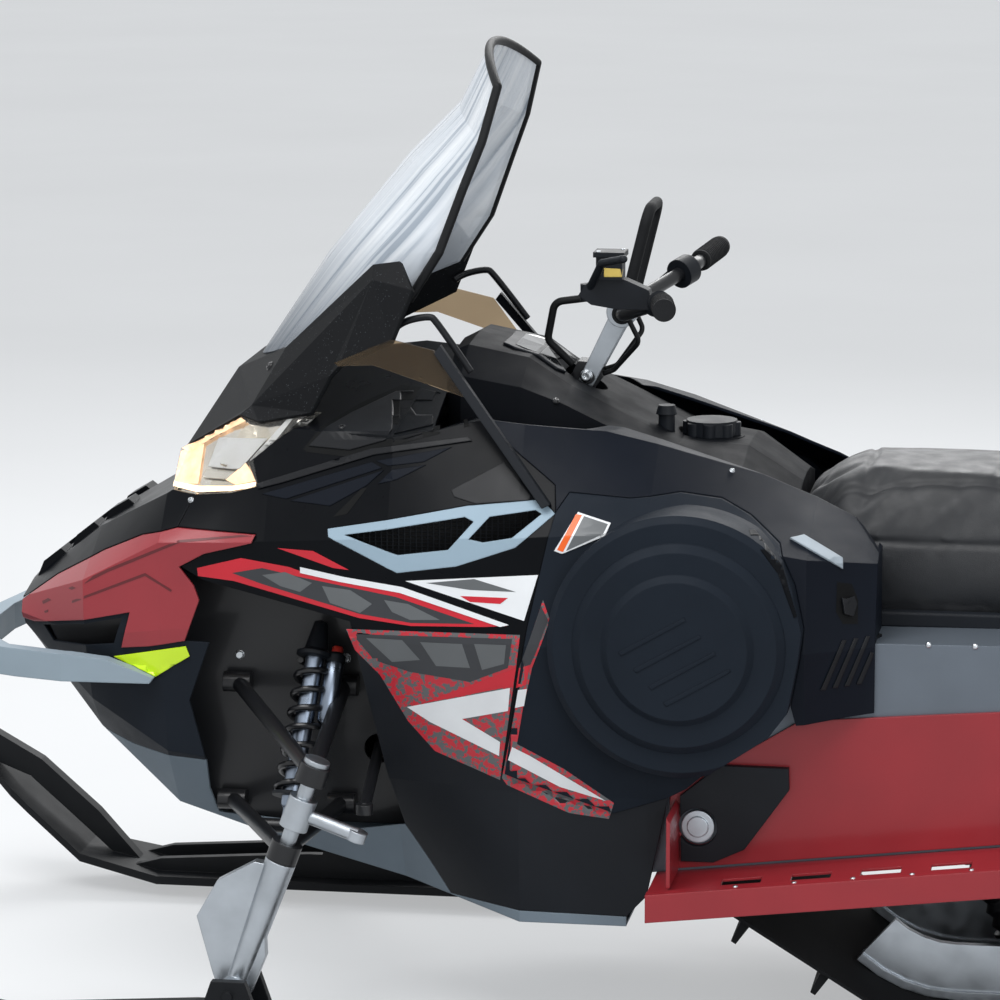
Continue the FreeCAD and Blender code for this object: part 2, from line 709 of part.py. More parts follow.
def coil_shock(low, high, body_r, coil_r, turns):
    """A damper body, its spring as a ridged sleeve between two perches, and the rod above."""
    axis = high - low
    length = axis.Length
    first, last = 0.16 * length, 0.80 * length
    pitch = (last - first) / turns
    outline = [(0, 0), (body_r, 0), (body_r, first - 8), (coil_r + 2, first - 8), (coil_r + 2, first - 2)]
    for k in range(turns):
        outline += [(body_r + 1, first + pitch * k), (coil_r, first + pitch * (k + 0.5))]
    outline += [(body_r + 1, last), (coil_r + 2, last + 2), (coil_r + 2, last + 8), (body_r * 0.6, last + 8),
                (body_r * 0.6, length), (0, length)]
    face = Part.Face(Part.makePolygon([Vector(r, 0, z) for r, z in outline + outline[:1]]))
    shock = face.revolve(Vector(0, 0, 0), Vector(0, 0, 1), 360)
    shock.Placement = FreeCAD.Placement(low, FreeCAD.Rotation(Vector(0, 0, 1), axis))
    return shock


CROSS_Z = GROUND_RUN + SHOE + size("rail_height") / 2


def track_shocks():
    """A coil shock from a rail cross tube to the middle of each swing arm."""
    rear = coil_shock(Vector(BOSS_X[1], 0, CROSS_Z), arm_middle(REAR_ARM_LOW, REAR_ARM_HIGH), 22, 31, 6)
    front = coil_shock(Vector(BOSS_X[0], 0, CROSS_Z), arm_middle(FRONT_ARM_LOW, FRONT_ARM_HIGH), 20, 28, 5)
    return Part.Compound([shock.cut([RAILS, SWING_ARMS]) for shock in (rear, front)])


keep("track_shocks", track_shocks())

# Front frame and engine
TOP = Vector(size("column_top_x"), 0, size("column_top_z"))
LOW = Vector(size("column_low_x"), 0, size("column_low_z"))
COLUMN = (LOW - TOP).normalize()
SKI_Y = size("ski_stance") / 2
TIE_INNER = Vector(862, 24, 438)
TIE_OUTER = Vector(825, SKI_Y - 64, 382)
TIE_CLEAR = 14
FRAME = size("frame_half")
PLATE = size("frame_plate")


sheet_box("engine_block", "Sizes.engine_rear", "Sizes.engine_front", "Sizes.engine_half",
          "Sizes.frame_floor + Sizes.frame_plate", "Sizes.engine_top")

# Skis and their legs
LEAN = math.radians(size("kingpin_lean"))
KINGPIN = Vector(-math.sin(LEAN), 0, math.cos(LEAN))
BOLT = Vector(size("ski_bolt_x"), SKI_Y, size("ski_bolt_z"))
BOLT_R = size("ski_bolt_r")


def ski():
    half = size("ski_width") / 2
    low = size("keel_height")
    sole = size("ski_sole")
    tip, tail = size("ski_tip_x"), size("ski_tail_x")
    start = BOLT.x + 330
    bottom = [(tail, low + 25), (tail + 60, low), (start, low), (start + 140, low + 30),
              (tip - 90, low + 110), (tip, low + 190)]
    top = [(x, z + sole) for x, z in reversed(bottom)]
    plate = side_plate(bottom + top, SKI_Y - half, SKI_Y + half)
    plan = top_plate([(tail, SKI_Y - half + 15), (tail + 80, SKI_Y - half), (start, SKI_Y - half),
                      (tip - 60, SKI_Y - half + 35), (tip, SKI_Y - half + 65),
                      (tip, SKI_Y + half - 65), (tip - 60, SKI_Y + half - 35), (start, SKI_Y + half),
                      (tail + 80, SKI_Y + half), (tail, SKI_Y + half - 15)], 0, 300)
    keel = side_plate([(tail + 120, low), (tail + 160, 0), (start - 20, 0), (start + 60, low)],
                      SKI_Y - 9, SKI_Y + 9)
    ribs = [side_plate([(tail + 90, low + sole), (tail + 200, low + sole + 26), (BOLT.x - 70, low + sole + 40),
                        (BOLT.x + 70, low + sole + 40), (start, low + sole + 22), (start + 80, low + sole)],
                       SKI_Y + y - 8, SKI_Y + y + 8) for y in (-46, 46)]
    ears = [side_plate([(BOLT.x - 60, low + sole), (BOLT.x - 26, BOLT.z + 22), (BOLT.x + 26, BOLT.z + 22),
                        (BOLT.x + 60, low + sole)], SKI_Y + y - 8, SKI_Y + y + 8) for y in (-46, 46)]
    bolt = rod((BOLT.x, SKI_Y - 60, BOLT.z), (BOLT.x, SKI_Y + 60, BOLT.z), BOLT_R)
    return joined([plate.common(plan), keel] + ribs + ears + [bolt])


def ski_loop():
    tip = size("ski_tip_x")
    low = size("keel_height") + size("ski_sole")
    start = BOLT.x + 330
    outline = [(start + 40, low + 2), (start + 75, low + 2), (start + 150, low + 70), (start + 240, low + 150),
               (tip - 22, low + 175), (tip, low + 185), (tip, low + 228), (tip - 20, low + 228), (start + 220, low + 180),
               (start + 120, low + 92)]
    return side_plate(outline, SKI_Y - 14, SKI_Y + 14)


def ski_leg():
    """The leg from the ski bolt up to the kingpin, with its steering arm."""
    saddle = rod((BOLT.x, SKI_Y - 37, BOLT.z), (BOLT.x, SKI_Y + 37, BOLT.z), 20)
    low = BOLT + KINGPIN * 12
    shoulder = BOLT + KINGPIN * (size("lower_bush") - 1)
    leg = Part.makeCone(18, 24, (shoulder - low).Length, low, KINGPIN)
    casting = side_plate([(BOLT.x - 26, BOLT.z - 8), (BOLT.x - 50, BOLT.z + 52), (BOLT.x - 46, BOLT.z + 150),
                          (BOLT.x - 60, BOLT.z + 196), (BOLT.x - 34, BOLT.z + 200), (BOLT.x + 24, BOLT.z + 168),
                          (BOLT.x + 56, BOLT.z + 112), (BOLT.x + 34, BOLT.z + 30), (BOLT.x + 22, BOLT.z - 8)],
                         SKI_Y - 11, SKI_Y + 11)
    above = Part.makeCylinder(60, 60, BOLT + KINGPIN * (size("lower_bush") - 1), KINGPIN)
    casting = casting.cut(above)
    pin = Part.makeCylinder(size("kingpin_r"), size("upper_bush") + size("bush_height") + 6, BOLT, KINGPIN)
    middle = BOLT + KINGPIN * ((size("lower_bush") + size("bush_height") + size("upper_bush")) / 2)
    collar = Part.makeCylinder(22, 50, middle - KINGPIN * 25, KINGPIN)
    rearward = Vector(-math.cos(LEAN), 0, -math.sin(LEAN))
    arm_end = middle + rearward * size("steer_arm")
    arm = rod(tuple(middle), tuple(arm_end), 11)
    eye = Part.makeCylinder(15, 16, arm_end - KINGPIN * 8, KINGPIN)
    nut = Part.makeCylinder(20, 8, BOLT + KINGPIN * (size("upper_bush") + size("bush_height") + 0.3), KINGPIN)
    shape = joined([saddle, leg, casting, pin, collar, arm, eye, nut])
    return shape.cut(rod((BOLT.x, SKI_Y - 60, BOLT.z), (BOLT.x, SKI_Y + 60, BOLT.z), BOLT_R + 0.2))


keep_sides("ski", joined([ski(), ski_loop()]))
keep_sides("ski_leg", ski_leg())


def a_arm(along, inner_front, inner_rear):
    """One A-arm: two tubes from the front frame to a bush round the kingpin."""
    centre = BOLT + KINGPIN * (along + size("bush_height") / 2)
    base = BOLT + KINGPIN * along
    bush = Part.makeCylinder(size("bush_r"), size("bush_height"), base, KINGPIN)
    tubes = [rod(inner, tuple(centre), size("arm_tube_r")) for inner in (inner_front, inner_rear)]
    bosses = [rod((x - 22, y, z), (x + 22, y, z), size("arm_tube_r") + 4) for x, y, z in (inner_front, inner_rear)]
    pin = Part.makeCylinder(size("kingpin_r") + size("kingpin_gap"), 500, BOLT, KINGPIN)
    above = Part.makeCylinder(size("bush_r") + 8, 60, base + KINGPIN * size("bush_height"), KINGPIN)
    below = Part.makeCylinder(size("bush_r") + 8, 60, base - KINGPIN * 60, KINGPIN)
    return joined([bush] + tubes + bosses).cut([pin, above, below])


ARM_IN = FRAME + size("arm_tube_r") + 4.3
SHOCK_LOW = Vector(963, 345, 330)
SHOCK_HIGH = Vector(932, ARM_IN + 12, 630)
lower_arm = a_arm(size("lower_bush"), (1080, ARM_IN, 330), (905, ARM_IN, 330))
shock_seat = rod((925, SHOCK_LOW.y, SHOCK_LOW.z), (1002, SHOCK_LOW.y, SHOCK_LOW.z), 11)
lower_arm = joined([lower_arm, shock_seat])
upper_arm = a_arm(size("upper_bush"), (1070, ARM_IN, 520), (900, ARM_IN, 520))
keep_both("a_arms", Part.Compound([lower_arm, upper_arm]))
front_shock = coil_shock(SHOCK_LOW, SHOCK_HIGH, 17, 25, 8).cut([lower_arm, upper_arm])
frame_side = block(800, 1200, -FRAME - 0.3, FRAME + 0.3, 200, 700)
keep_both("front_shocks", max(front_shock.cut(frame_side).Solids, key=lambda solid: solid.Volume))

# Steering
def steering_column():
    column = rod(tuple(TOP), tuple(LOW), size("column_r"))
    arm_end = LOW + Vector(-COLUMN.z, 0, COLUMN.x) * -size("pitman")
    eye = Part.makeCylinder(15, 12, arm_end - COLUMN * 6, COLUMN)
    return joined([column, rod(tuple(LOW), tuple(arm_end), 10), eye])


def bar_points():
    half = size("bar_half")
    lift = Vector(-55, 0, 88)
    base = TOP + lift
    return [(base.x - 107, half, base.z + 55), (base.x - 85, half - 150, base.z + 45), (base.x - 5, 80, base.z + 4),
            (base.x, 0, base.z), (base.x - 5, -80, base.z + 4), (base.x - 85, -(half - 150), base.z + 45),
            (base.x - 107, -half, base.z + 55)]


def handlebar():
    points = bar_points()
    del points[3]
    return bent_tube(points, size("bar_r"), 60)


RISER_FOOT = Vector(538, 0, 992)
RISER_TOP = TOP + Vector(-55, 0, 90)


def riser_pivot():
    """Block on the column's end, with the bolt that the riser's bars are clamped by."""
    block_plate = side_plate([(556, 1016), (522, 1014), (516, 992), (535, 966), (558, 971), (564, 1000)], -22, 22)
    bolt = rod((RISER_FOOT.x, -34, RISER_FOOT.z), (RISER_FOOT.x, 34, RISER_FOOT.z), 10)
    return joined([block_plate, bolt]).cut(rod(tuple(TOP), tuple(LOW), size("column_r")))


def riser():
    """Two flat bars up to the bar clamp."""
    along = (RISER_TOP - RISER_FOOT).normalize()
    across = Vector(-along.z, 0, along.x) * 12
    ends = (RISER_FOOT - along * 11, RISER_TOP)
    strip = [ends[0] + across, ends[1] + across * 1.3, ends[1] - across * 1.3, ends[0] - across]
    bar = side_plate([(p.x, p.z) for p in strip], 22, 30)
    clamp = rod((RISER_TOP.x, -38, RISER_TOP.z), (RISER_TOP.x, 38, RISER_TOP.z), 24)
    return joined([bar, mirrored(bar), clamp])


BAR = handlebar()
PIVOT = riser_pivot()
keep("steering_column", steering_column())
keep("riser_pivot", PIVOT)
RISER = keep("riser", riser().cut([BAR, PIVOT]))


def grab_loop():
    """Grab loop that stands on the middle of the bar, with its two clamps."""
    loop = bent_tube([(480, 60, 1099), (440, 60, 1262), (440, -60, 1262), (480, -60, 1099)], 9, 26)
    clamps = [rod((480, y - 12, 1099), (480, y + 12, 1099), 16) for y in (-60, 60)]
    return joined([loop] + clamps).cut(BAR)


keep("grab_loop", grab_loop())


def grip():
    ends = bar_points()
    tip, inner = Vector(*ends[0]), Vector(*ends[1])
    along = (inner - tip).normalize()
    return Part.makeCylinder(size("grip_r"), size("grip_length"), tip - along * 6, along).cut(BAR)


keep("handlebar", BAR)
keep("grips", Part.Compound([grip(), mirrored(grip())]))


def bar_control():
    """Brake cylinder with its reservoir and lever at the left grip."""
    cylinder = side_plate([(412, 1128), (420, 1158), (458, 1174), (500, 1174), (518, 1164), (528, 1148), (508, 1134),
                           (470, 1128)], 190, 220)
    reservoir = block(460, 500, 186, 226, 1173, 1208)
    lid = block(456, 504, 182, 230, 1208, 1216)
    spots = [(517, 202, 1148), (486, 262, 1204), (442, 345, 1222)]
    lever = [rod(a, b, 6) for a, b in zip(spots, spots[1:])] + [Part.makeSphere(6, Vector(*p)) for p in spots[1:]]
    pivot = rod((517, 202, 1138), (517, 202, 1164), 10)
    clamp = Part.makeCylinder(19, 22, bar_spot(0.50), bar_spot(0.40) - bar_spot(0.50))
    return joined([cylinder, reservoir, lid, pivot, clamp] + lever).cut(BAR)


def bar_spot(share):
    """A point on the left half of the bar, from its tip at 0 to the inner bend at 1."""
    tip, outer, inner = (Vector(*p) for p in bar_points()[:3])
    if share < 0.4:
        return tip + (outer - tip) * (share / 0.4)
    return outer + (inner - outer) * ((share - 0.4) / 0.6)


def throttle_block():
    """Throttle housing and thumb lever at the right grip."""
    low, high = bar_spot(0.46), bar_spot(0.56)
    housing = Part.makeCylinder(24, (high - low).Length, low, high - low)
    lever = side_plate([(low.x - 6, low.z - 10), (low.x + 44, low.z - 34), (low.x + 58, low.z - 26), (low.x + 20, low.z + 8)],
                       low.y, low.y + 18)
    return mirrored(joined([housing, lever]).cut(BAR))


keep("bar_controls", Part.Compound([bar_control(), throttle_block()]))


def control_lines():
    """Brake hose in a loop from the bar clamp to the steering opening, and two cables behind the riser."""
    hose = bent_tube([(478, 34, 1108), (520, 42, 1122), (590, 42, 1112), (603, 30, 1050), (566, 12, 1010)], 6, 18)
    near = bent_tube([(474, 42.5, 1088), (456, 40, 1052), (500, 14, 1002), (522, 12, 994)], 4, 14)
    far = bent_tube([(474, -42.5, 1088), (460, -38, 1060), (498, -10, 1006), (522, -10, 998)], 4, 14)
    return Part.Compound([line.cut([BAR, RISER, PIVOT]) for line in (hose, near, far)])


keep("control_lines", control_lines())


def tie_rod():
    eyes = [rod((p.x, p.y, p.z - 8), (p.x, p.y, p.z + 8), 13) for p in (TIE_INNER, TIE_OUTER)]
    return joined([rod(tuple(TIE_INNER), tuple(TIE_OUTER), size("tie_rod_r"))] + eyes)


keep_sides("tie_rod", tie_rod())

# Body skin: half width and height of each crease at stations from the nose to the tail
SKIN_TABLE = [
    # station, keel, chine, belt line, shoulder, brow, crown height
    # behind the engine the first four half widths count from the tunnel wall
    (1428, (90, 570), (130, 590), (148, 612), (140, 636), (70, 652), 658),
    (1300, (150, 432), (212, 490), (256, 600), (258, 690), (130, 752), 760),
    (1170, (172, 318), (254, 420), (284, 620), (294, 760), (232, 826), 838),
    (1000, (180, 266), (262, 400), (306, 640), (318, 770), (235, 935), 1015),
    (800, (205, 220), (300, 400), (372, 640), (365, 790), (300, 935), 1040),
    (600, (12, 190), (29, 400), (79, 640), (62, 800), (270, 975), 1020),
    (400, (12, 190), (39, 400), (97, 640), (77, 820), (240, 925), 930),
    (160, (12, 190), (39, 400), (79, 640), (62, 780), (180, 850), 855),
    (60, (4, 500), (6, 560), (8, 640), (-30, 760), (180, 800), 805),
]


SIDE_FRONT = 700


def skin_solid(inset):
    sections = []
    for station, *flanks, brow, crown in SKIN_TABLE:
        if station < SIDE_FRONT:
            flanks = [(TUNNEL_OUT + y, z) for y, z in flanks]
        half = [(0, flanks[0][1])] + flanks + [brow, (0, crown)]
        left = [Vector(station, y, z) for y, z in half]
        right = [Vector(station, -y, z) for y, z in reversed(half[1:-1])]
        wire = Part.makePolygon(left + right + left[:1])
        if inset:
            wire = wire.makeOffset2D(-inset, 2)
            ends = {SKIN_TABLE[0][0]: -inset, SKIN_TABLE[-1][0]: inset}
            wire.translate(Vector(ends.get(station, 0), 0, 0))
        sections.append(wire)
    return Part.makeLoft(sections, True, True)


SKIN_OUT = skin_solid(0)
SKIN_IN = skin_solid(size("skin"))
SHELL = SKIN_OUT.cut(SKIN_IN)
def front_frame():
    """Floor, side plates inside the skin, cross plate and the column's bearing."""
    floor = size("frame_floor")
    parts = [block(size("tunnel_front"), 1020, -FRAME, FRAME, floor, floor + PLATE)]
    for side in (-1, 1):
        y0, y1 = sorted((side * (FRAME - PLATE), side * FRAME))
        parts.append(side_plate([(806, floor), (1020, floor), (1190, 340), (1330, 440), (1400, 560), (1330, 690),
                                 (1150, 730), (1000, 760), (806, 760)], y0, y1))
    parts.append(block(1140 - PLATE, 1140, -FRAME, FRAME, 350, 430))
    bearing = LOW - COLUMN * 32
    parts.append(rod((bearing.x, -FRAME + PLATE, bearing.z), (bearing.x, FRAME - PLATE, bearing.z), 22))
    column = rod(tuple(TOP), tuple(LOW + COLUMN * 20), size("column_r") + RUNNING_GAP)
    hole = rod(tuple(TIE_INNER), tuple(TIE_OUTER), size("tie_rod_r") + TIE_CLEAR)
    return joined(parts).common(skin_solid(size("skin") + 2)).cut([column, hole, mirrored(hole)])


keep("front_frame", front_frame())
COLUMN_CLEAR = rod(tuple(TOP - COLUMN * 60), tuple(LOW), size("column_r") + size("column_gap"))


def panel(outline, y0, y1):
    """A panel cut from the body skin by its outline in side view, with half a seam all round."""
    face = side_face(outline, y0).makeOffset2D(-size("seam") / 2, 2)
    return SHELL.common(face.extrude(Vector(0, y1 - y0, 0)))


WIDE = 1.2 * size("board_edge_y")
NOSE = [(1450, 640), (1450, 720), (1330, 785), (1240, 850), (1172, 833), (1121, 829), (1143, 782), (1204, 764),
        (1275, 730), (1366, 677), (1434, 628)]
FENDER = [(1434, 628), (1366, 677), (1275, 730), (1204, 764), (1143, 782), (1013, 780), (1019, 767), (1096, 746),
          (1137, 723), (1114, 694), (1106, 671), (1132, 604), (1192, 591), (1239, 585), (1222, 644), (1403, 601),
          (1445, 601)]
LOWER_NOSE = [(1450, 540), (1450, 601), (1403, 601), (1222, 644), (1239, 585), (1192, 591), (1132, 604),
              (1093, 603), (1130, 505), (1108, 407), (1239, 415), (1330, 436), (1400, 480)]
INTAKE = [(1236, 634), (1385, 599), (1368, 574), (1252, 590)]
BELLY = [(1400, 480), (1330, 436), (1239, 415), (1108, 407), (1112, 350), (1104, 306), (870, 300), (791, 318),
         (720, 210), (434, 206), (434, 160), (1114, 160), (1390, 330)]
HOOD = [(1017, 849), (827, 920), (740, 945), (740, 1100), (954, 1100), (954, 954), (999, 912), (1037, 881),
        (1024, 858)]
SIDE = [(1121, 829), (1062, 836), (1017, 849), (827, 920), (672, 964), (546, 874), (541, 836),
        (578, 668), (620, 428), (716, 475), (761, 505), (804, 593), (848, 606), (860, 657), (994, 680),
        (1100, 703), (1137, 723), (1096, 746), (1019, 767), (1013, 780), (1143, 782)]
COVER_TOP = [(541, 838), (523, 865), (431, 859), (358, 865), (297, 854), (251, 832), (202, 799), (176, 744),
             (161, 678), (166, 635), (181, 556)]
DRIVE_COVER = COVER_TOP + [(210, 517), (288, 464), (340, 418), (367, 403), (451, 374), (620, 428), (578, 668)]
TANK_PANEL = [(672, 964), (546, 874)] + COVER_TOP + [(173, 526), (50, 538), (50, 760), (176, 892), (260, 924)]
LOWER_SIDE = [(860, 657), (848, 606), (804, 593), (761, 505), (716, 475), (620, 428), (539, 394), (451, 374),
              (367, 403), (402, 240), (434, 206), (720, 210), (791, 318), (814, 418)]
VENT = [(897, 797), (678, 842), (565, 855), (541, 836), (599, 786), (690, 753), (783, 738), (895, 785)]

HEADLIGHT = [(1172, 833), (1150, 893), (1056, 946), (954, 954), (999, 912), (1037, 881), (1024, 858), (1017, 849),
             (1062, 836), (1121, 829)]
LAMP_IN = 30

FENDER_IN = 60
NOSE_MIDDLE = [(1450, 601), (1450, 720), (1330, 785), (1240, 850), (1172, 833), (1121, 829), (1143, 782), (1403, 601)]
LOUVRES = [
    [(1418, 658), (1408, 682), (1380, 704), (1368, 694), (1372, 650)],
    [(1363, 702), (1353, 726), (1325, 748), (1313, 738), (1317, 694)],
    [(1308, 746), (1298, 769), (1268, 787), (1256, 778), (1262, 735)],
]


def nose():
    """Front of the hood with its louvres, the middle of the front and the bridge between the lamps."""
    middle = FENDER_IN + size("fender_step") - 0.5
    bridge = side_plate([(1172, 834), (1163, 871), (1128, 922), (1100, 902)], -LAMP_IN + 0.5, LAMP_IN - 0.5)
    parts = [panel(NOSE, -WIDE, WIDE), panel(NOSE_MIDDLE, -middle, middle),
             panel(HEADLIGHT, -LAMP_IN + 0.5, LAMP_IN - 0.5), bridge.cut(SKIN_IN)]
    for outline in LOUVRES:
        louvre = side_plate(outline, 35, 85).cut(SKIN_IN)
        parts += [louvre, mirrored(louvre)]
    return joined(parts)


NOSE_PANEL = keep("nose", nose())
keep_both("nose_fenders", panel(FENDER, FENDER_IN, WIDE).translated(Vector(0, size("fender_step"), 0)))
intakes = [side_plate(INTAKE, 150, WIDE), side_plate(INTAKE, -WIDE, -150)]
keep("lower_nose", panel(LOWER_NOSE, -WIDE, WIDE).cut(intakes))
ribs = [block(600, 1000, y - 5, y + 5, 150, size("frame_floor")).common(SKIN_IN) for y in (-120, 120)]
keep("belly_pan", joined([panel(BELLY, -WIDE, WIDE)] + ribs))
HOOD_PANEL = keep("hood", panel(HOOD, -WIDE, WIDE).cut(COLUMN_CLEAR))
SIDE_PANEL = panel(SIDE, 60, WIDE).cut(side_plate(VENT, 60, WIDE))
keep_both("side_panels", SIDE_PANEL)
keep_both("lower_sides", panel(LOWER_SIDE, 200, WIDE))
keep_both("tank_panels", panel(TANK_PANEL, 200, WIDE).cut(TUNNEL_BODY))


DRUM_STEPS = [
    # radius below the outer step, height over the belt line, run of the slope
    (0, 24, 10),
    (40, 38, 12),
    (85, 48, 10),
]
BELT_LINE = TUNNEL_OUT + 89


def drive_cover():
    """Rear side panel with the stepped drum over the clutches, hollow from inside."""
    axis = Vector(0, 1, 0)
    foot = Vector(size("bulge_x"), TUNNEL_OUT + 10, size("bulge_z"))
    drums, rooms = [], []
    for step, rise, slope in DRUM_STEPS:
        radius = size("bulge_r") - step
        base = Vector(foot.x, BELT_LINE + rise - slope, foot.z)
        drums.append(Part.makeCylinder(radius, base.y - foot.y, foot, axis))
        drums.append(Part.makeCone(radius, radius - slope, slope, base, axis))
        rooms.append(Part.makeCylinder(radius - slope - size("skin"), base.y - foot.y + slope - size("skin"), foot, axis))
    face = side_face(DRIVE_COVER, 200)
    inside = face.makeOffset2D(-size("seam") / 2 - size("skin"), 2).extrude(Vector(0, WIDE, 0))
    whole = face.makeOffset2D(-size("seam") / 2, 2).extrude(Vector(0, WIDE, 0))
    proud = panel(DRIVE_COVER, 200, WIDE).translated(axis * size("cover_step"))
    return proud.fuse(joined(drums).common(whole)).cut(joined(rooms).common(inside))


keep_both("drive_covers", drive_cover())


VENT_FRONT = [(869, 790), (680, 826), (666, 820), (704, 777), (783, 765)]
VENT_REAR = [(672, 795), (642, 828), (572, 840), (562, 835), (605, 800), (650, 791)]
vent_holes = [side_plate(outline, 60, WIDE) for outline in (VENT_FRONT, VENT_REAR)]
keep_both("vent_frames", panel(VENT, 60, WIDE).cut(vent_holes))


def vent_screen():
    """Duct behind a vent frame, closed by its screen."""
    deep = size("vent_floor")
    outer = side_face(VENT, deep).makeOffset2D(-size("seam") / 2, 2).extrude(Vector(0, WIDE, 0))
    inner = side_face(VENT, deep + 4).makeOffset2D(-size("seam") / 2 - 4, 2).extrude(Vector(0, WIDE, 0))
    return outer.cut(inner).common(SKIN_IN)


keep_both("vent_screens", vent_screen())


# Cowl: flat facets round the foot of the windshield
def faceted(points, triangles, inward):
    """Flat facets of one sheet, thickened along one direction."""
    prisms = []
    for names in triangles:
        corners = [Vector(*points[name]) for name in names.split()]
        prisms.append(Part.Face(Part.makePolygon(corners + corners[:1])).extrude(Vector(*inward)))
    return joined(prisms)


COWL_POINTS = {
    "chin": (1172, 0, 880), "cheek": (1150, 175, 893), "lamp": (1058, 215, 949), "notch": (1025, 228, 941),
    "corner": (938, 255, 962), "back": (905, 270, 1022), "step": (887, 280, 1041), "wing": (805, 290, 1082),
    "ear": (774, 285, 1160), "horn": (797, 258, 1200), "brow": (1105, 0, 990), "base": (1062, 0, 1024),
    "ridge": (1041, 205, 963), "ridge_top": (839, 262, 1171), "side": (990, 185, 1052), "rim": (841, 243, 1192),
}
COWL_FACETS = [
    "chin cheek brow", "cheek ridge brow", "cheek lamp ridge", "lamp notch ridge", "notch corner ridge",
    "corner back ridge", "ridge back ridge_top", "back step ridge_top", "step wing ridge_top",
    "wing ear ridge_top", "ear horn ridge_top", "brow ridge side", "brow side base", "ridge ridge_top side",
    "ridge_top rim side", "ridge_top horn rim",
]
half_cowl = faceted(COWL_POINTS, COWL_FACETS, (-4, -4, -4))
cowl = joined([half_cowl, mirrored(half_cowl)])
keep("cowl", cowl)


# Windshield: a curved pane lofted through bows from its foot to its top
BOWS = [
    # centre forward, centre height, side forward, side half width, side height
    (1060, 1021, 790, 228, 1138),
    (951, 1185, 742, 236, 1213),
    (824, 1340, 706, 226, 1312),
    (741, 1424, 680, 212, 1380),
    (697, 1511, 659, 192, 1463),
]


def bow_ends(bow):
    cx, cz, sx, sy, sz = bow
    return Vector(cx, 0, cz), Vector(sx, sy, sz)


def windshield():
    bows = []
    for bow in BOWS:
        centre, side = bow_ends(bow)
        bows.append(Part.Wire(Part.Arc(side, centre, Vector(side.x, -side.y, side.z)).toShape()))
    push = Vector(-size("pane"), 0, -size("pane") * 0.6)
    bands = []
    for lower, upper in zip(bows, bows[1:]):
        bands.append(Part.makeRuledSurface(lower, upper).extrude(push).Solids[0])
    return joined(bands)


PANE = windshield().cut(cowl)
PANE = max(PANE.Solids, key=lambda solid: solid.Volume)
keep("windshield", PANE)


def windshield_trim():
    radius = size("trim_r")
    near = [Vector(p.x - 4, p.y + radius * 1.6, p.z) for p in (bow_ends(bow)[1] for bow in BOWS)]
    top = bow_ends(BOWS[-1])[0]
    crown = Part.Arc(near[-1], Vector(top.x - 4, 0, top.z + 3), Vector(near[-1].x, -near[-1].y, near[-1].z))
    section = Part.Wire(Part.makeCircle(radius, near[-1], crown.toShape().tangentAt(crown.FirstParameter)))
    crown = Part.Wire(crown.toShape()).makePipeShell([section], True, True)
    side = []
    for low, high in zip(near, near[1:]):
        side.append(rod(tuple(low), tuple(high), radius))
    for corner in near[1:]:
        side.append(Part.makeSphere(radius, corner))
    side = joined(side)
    return joined([crown, side, mirrored(side)]).cut(PANE)


keep("windshield_trim", windshield_trim())
WING = [(893, 1046), (887, 1041), (833, 1044), (686, 996), (740, 1069), (805, 1084)]
wing = side_plate(WING, 287, 291).cut(cowl)
STRUT = [(737, 1066), (561, 844), (549, 850), (728, 1078)]
strut_ring = [Vector(x, 291 + (1066 - z) * 0.297, z) for x, z in STRUT + STRUT[:1]]
strut = Part.Face(Part.makePolygon(strut_ring)).extrude(Vector(0, 14, 0)).cut(SKIN_OUT)
keep("wind_wings", Part.Compound([wing, mirrored(wing)]))
keep("wing_struts", Part.Compound([strut, mirrored(strut)]))


# Headlights: a faceted lens between the nose, the side panel, the hood and the cowl
LAMP_POINTS = {
    "front": (1172, 31, 836), "low": (1168, 205, 827), "foot": (1121, 253, 829), "mid": (1062, 268, 836),
    "rear": (1017, 274, 849), "step": (1024, 267, 858), "waist": (1037, 251, 881), "arm": (999, 247, 912),
    "tip": (956, 215, 950), "chin": (1163, 31, 886), "cheek": (1144, 172, 898), "peak": (1053, 209, 953),
    "notch": (1020, 222, 944), "corner": (936, 248, 964),
}
LAMP_FACETS = [
    "front low cheek", "front cheek chin", "low foot cheek", "foot mid peak", "foot peak cheek", "mid rear peak",
    "rear step peak", "step waist peak", "waist arm notch", "waist notch peak", "arm tip corner", "arm corner notch",
]
LAMP = faceted(LAMP_POINTS, LAMP_FACETS, (-14, -9, -3)).cut([cowl, NOSE_PANEL, SIDE_PANEL, HOOD_PANEL])
keep_both("headlights", max(LAMP.Solids, key=lambda solid: solid.Volume))

# Console over the fuel tank, with its filler neck
CONSOLE_TABLE = [
    # station, lower side, upper side, top edge, crown height
    (739.6, (150, 930), (170, 1000), (90, 1040), 1046),
    (715, (190, 920), (190, 1015), (110, 1052), 1058),
    (620, (197, 905), (195, 1000), (110, 1034), 1037),
    (555, (197, 850), (190, 975), (100, 990), 992),
    (470, (197, 700), (190, 935), (90, 945), 948),
    (385, (197, 636), (185, 895), (80, 904), 905),
    (280, (190, 636), (165, 880), (70, 898), 899),
    (195, (170, 636), (140, 825), (60, 843), 846),
]


def roof_height(x):
    front = size("tunnel_front") - size("tunnel_slope")
    return size("tunnel_top") + size("tunnel_lift") * (front - x) / (front - size("tunnel_rear"))


def half_section_loft(table):
    sections = []
    for station, *half, crown in table:
        left = [Vector(station, y, z) for y, z in half]
        right = [Vector(station, -y, z) for y, z in reversed(half)]
        sections.append(Part.makePolygon(left + [Vector(station, 0, crown)] + right + left[:1]))
    return Part.makeLoft(sections, True, True)


CAP_Z = size("cap_z")


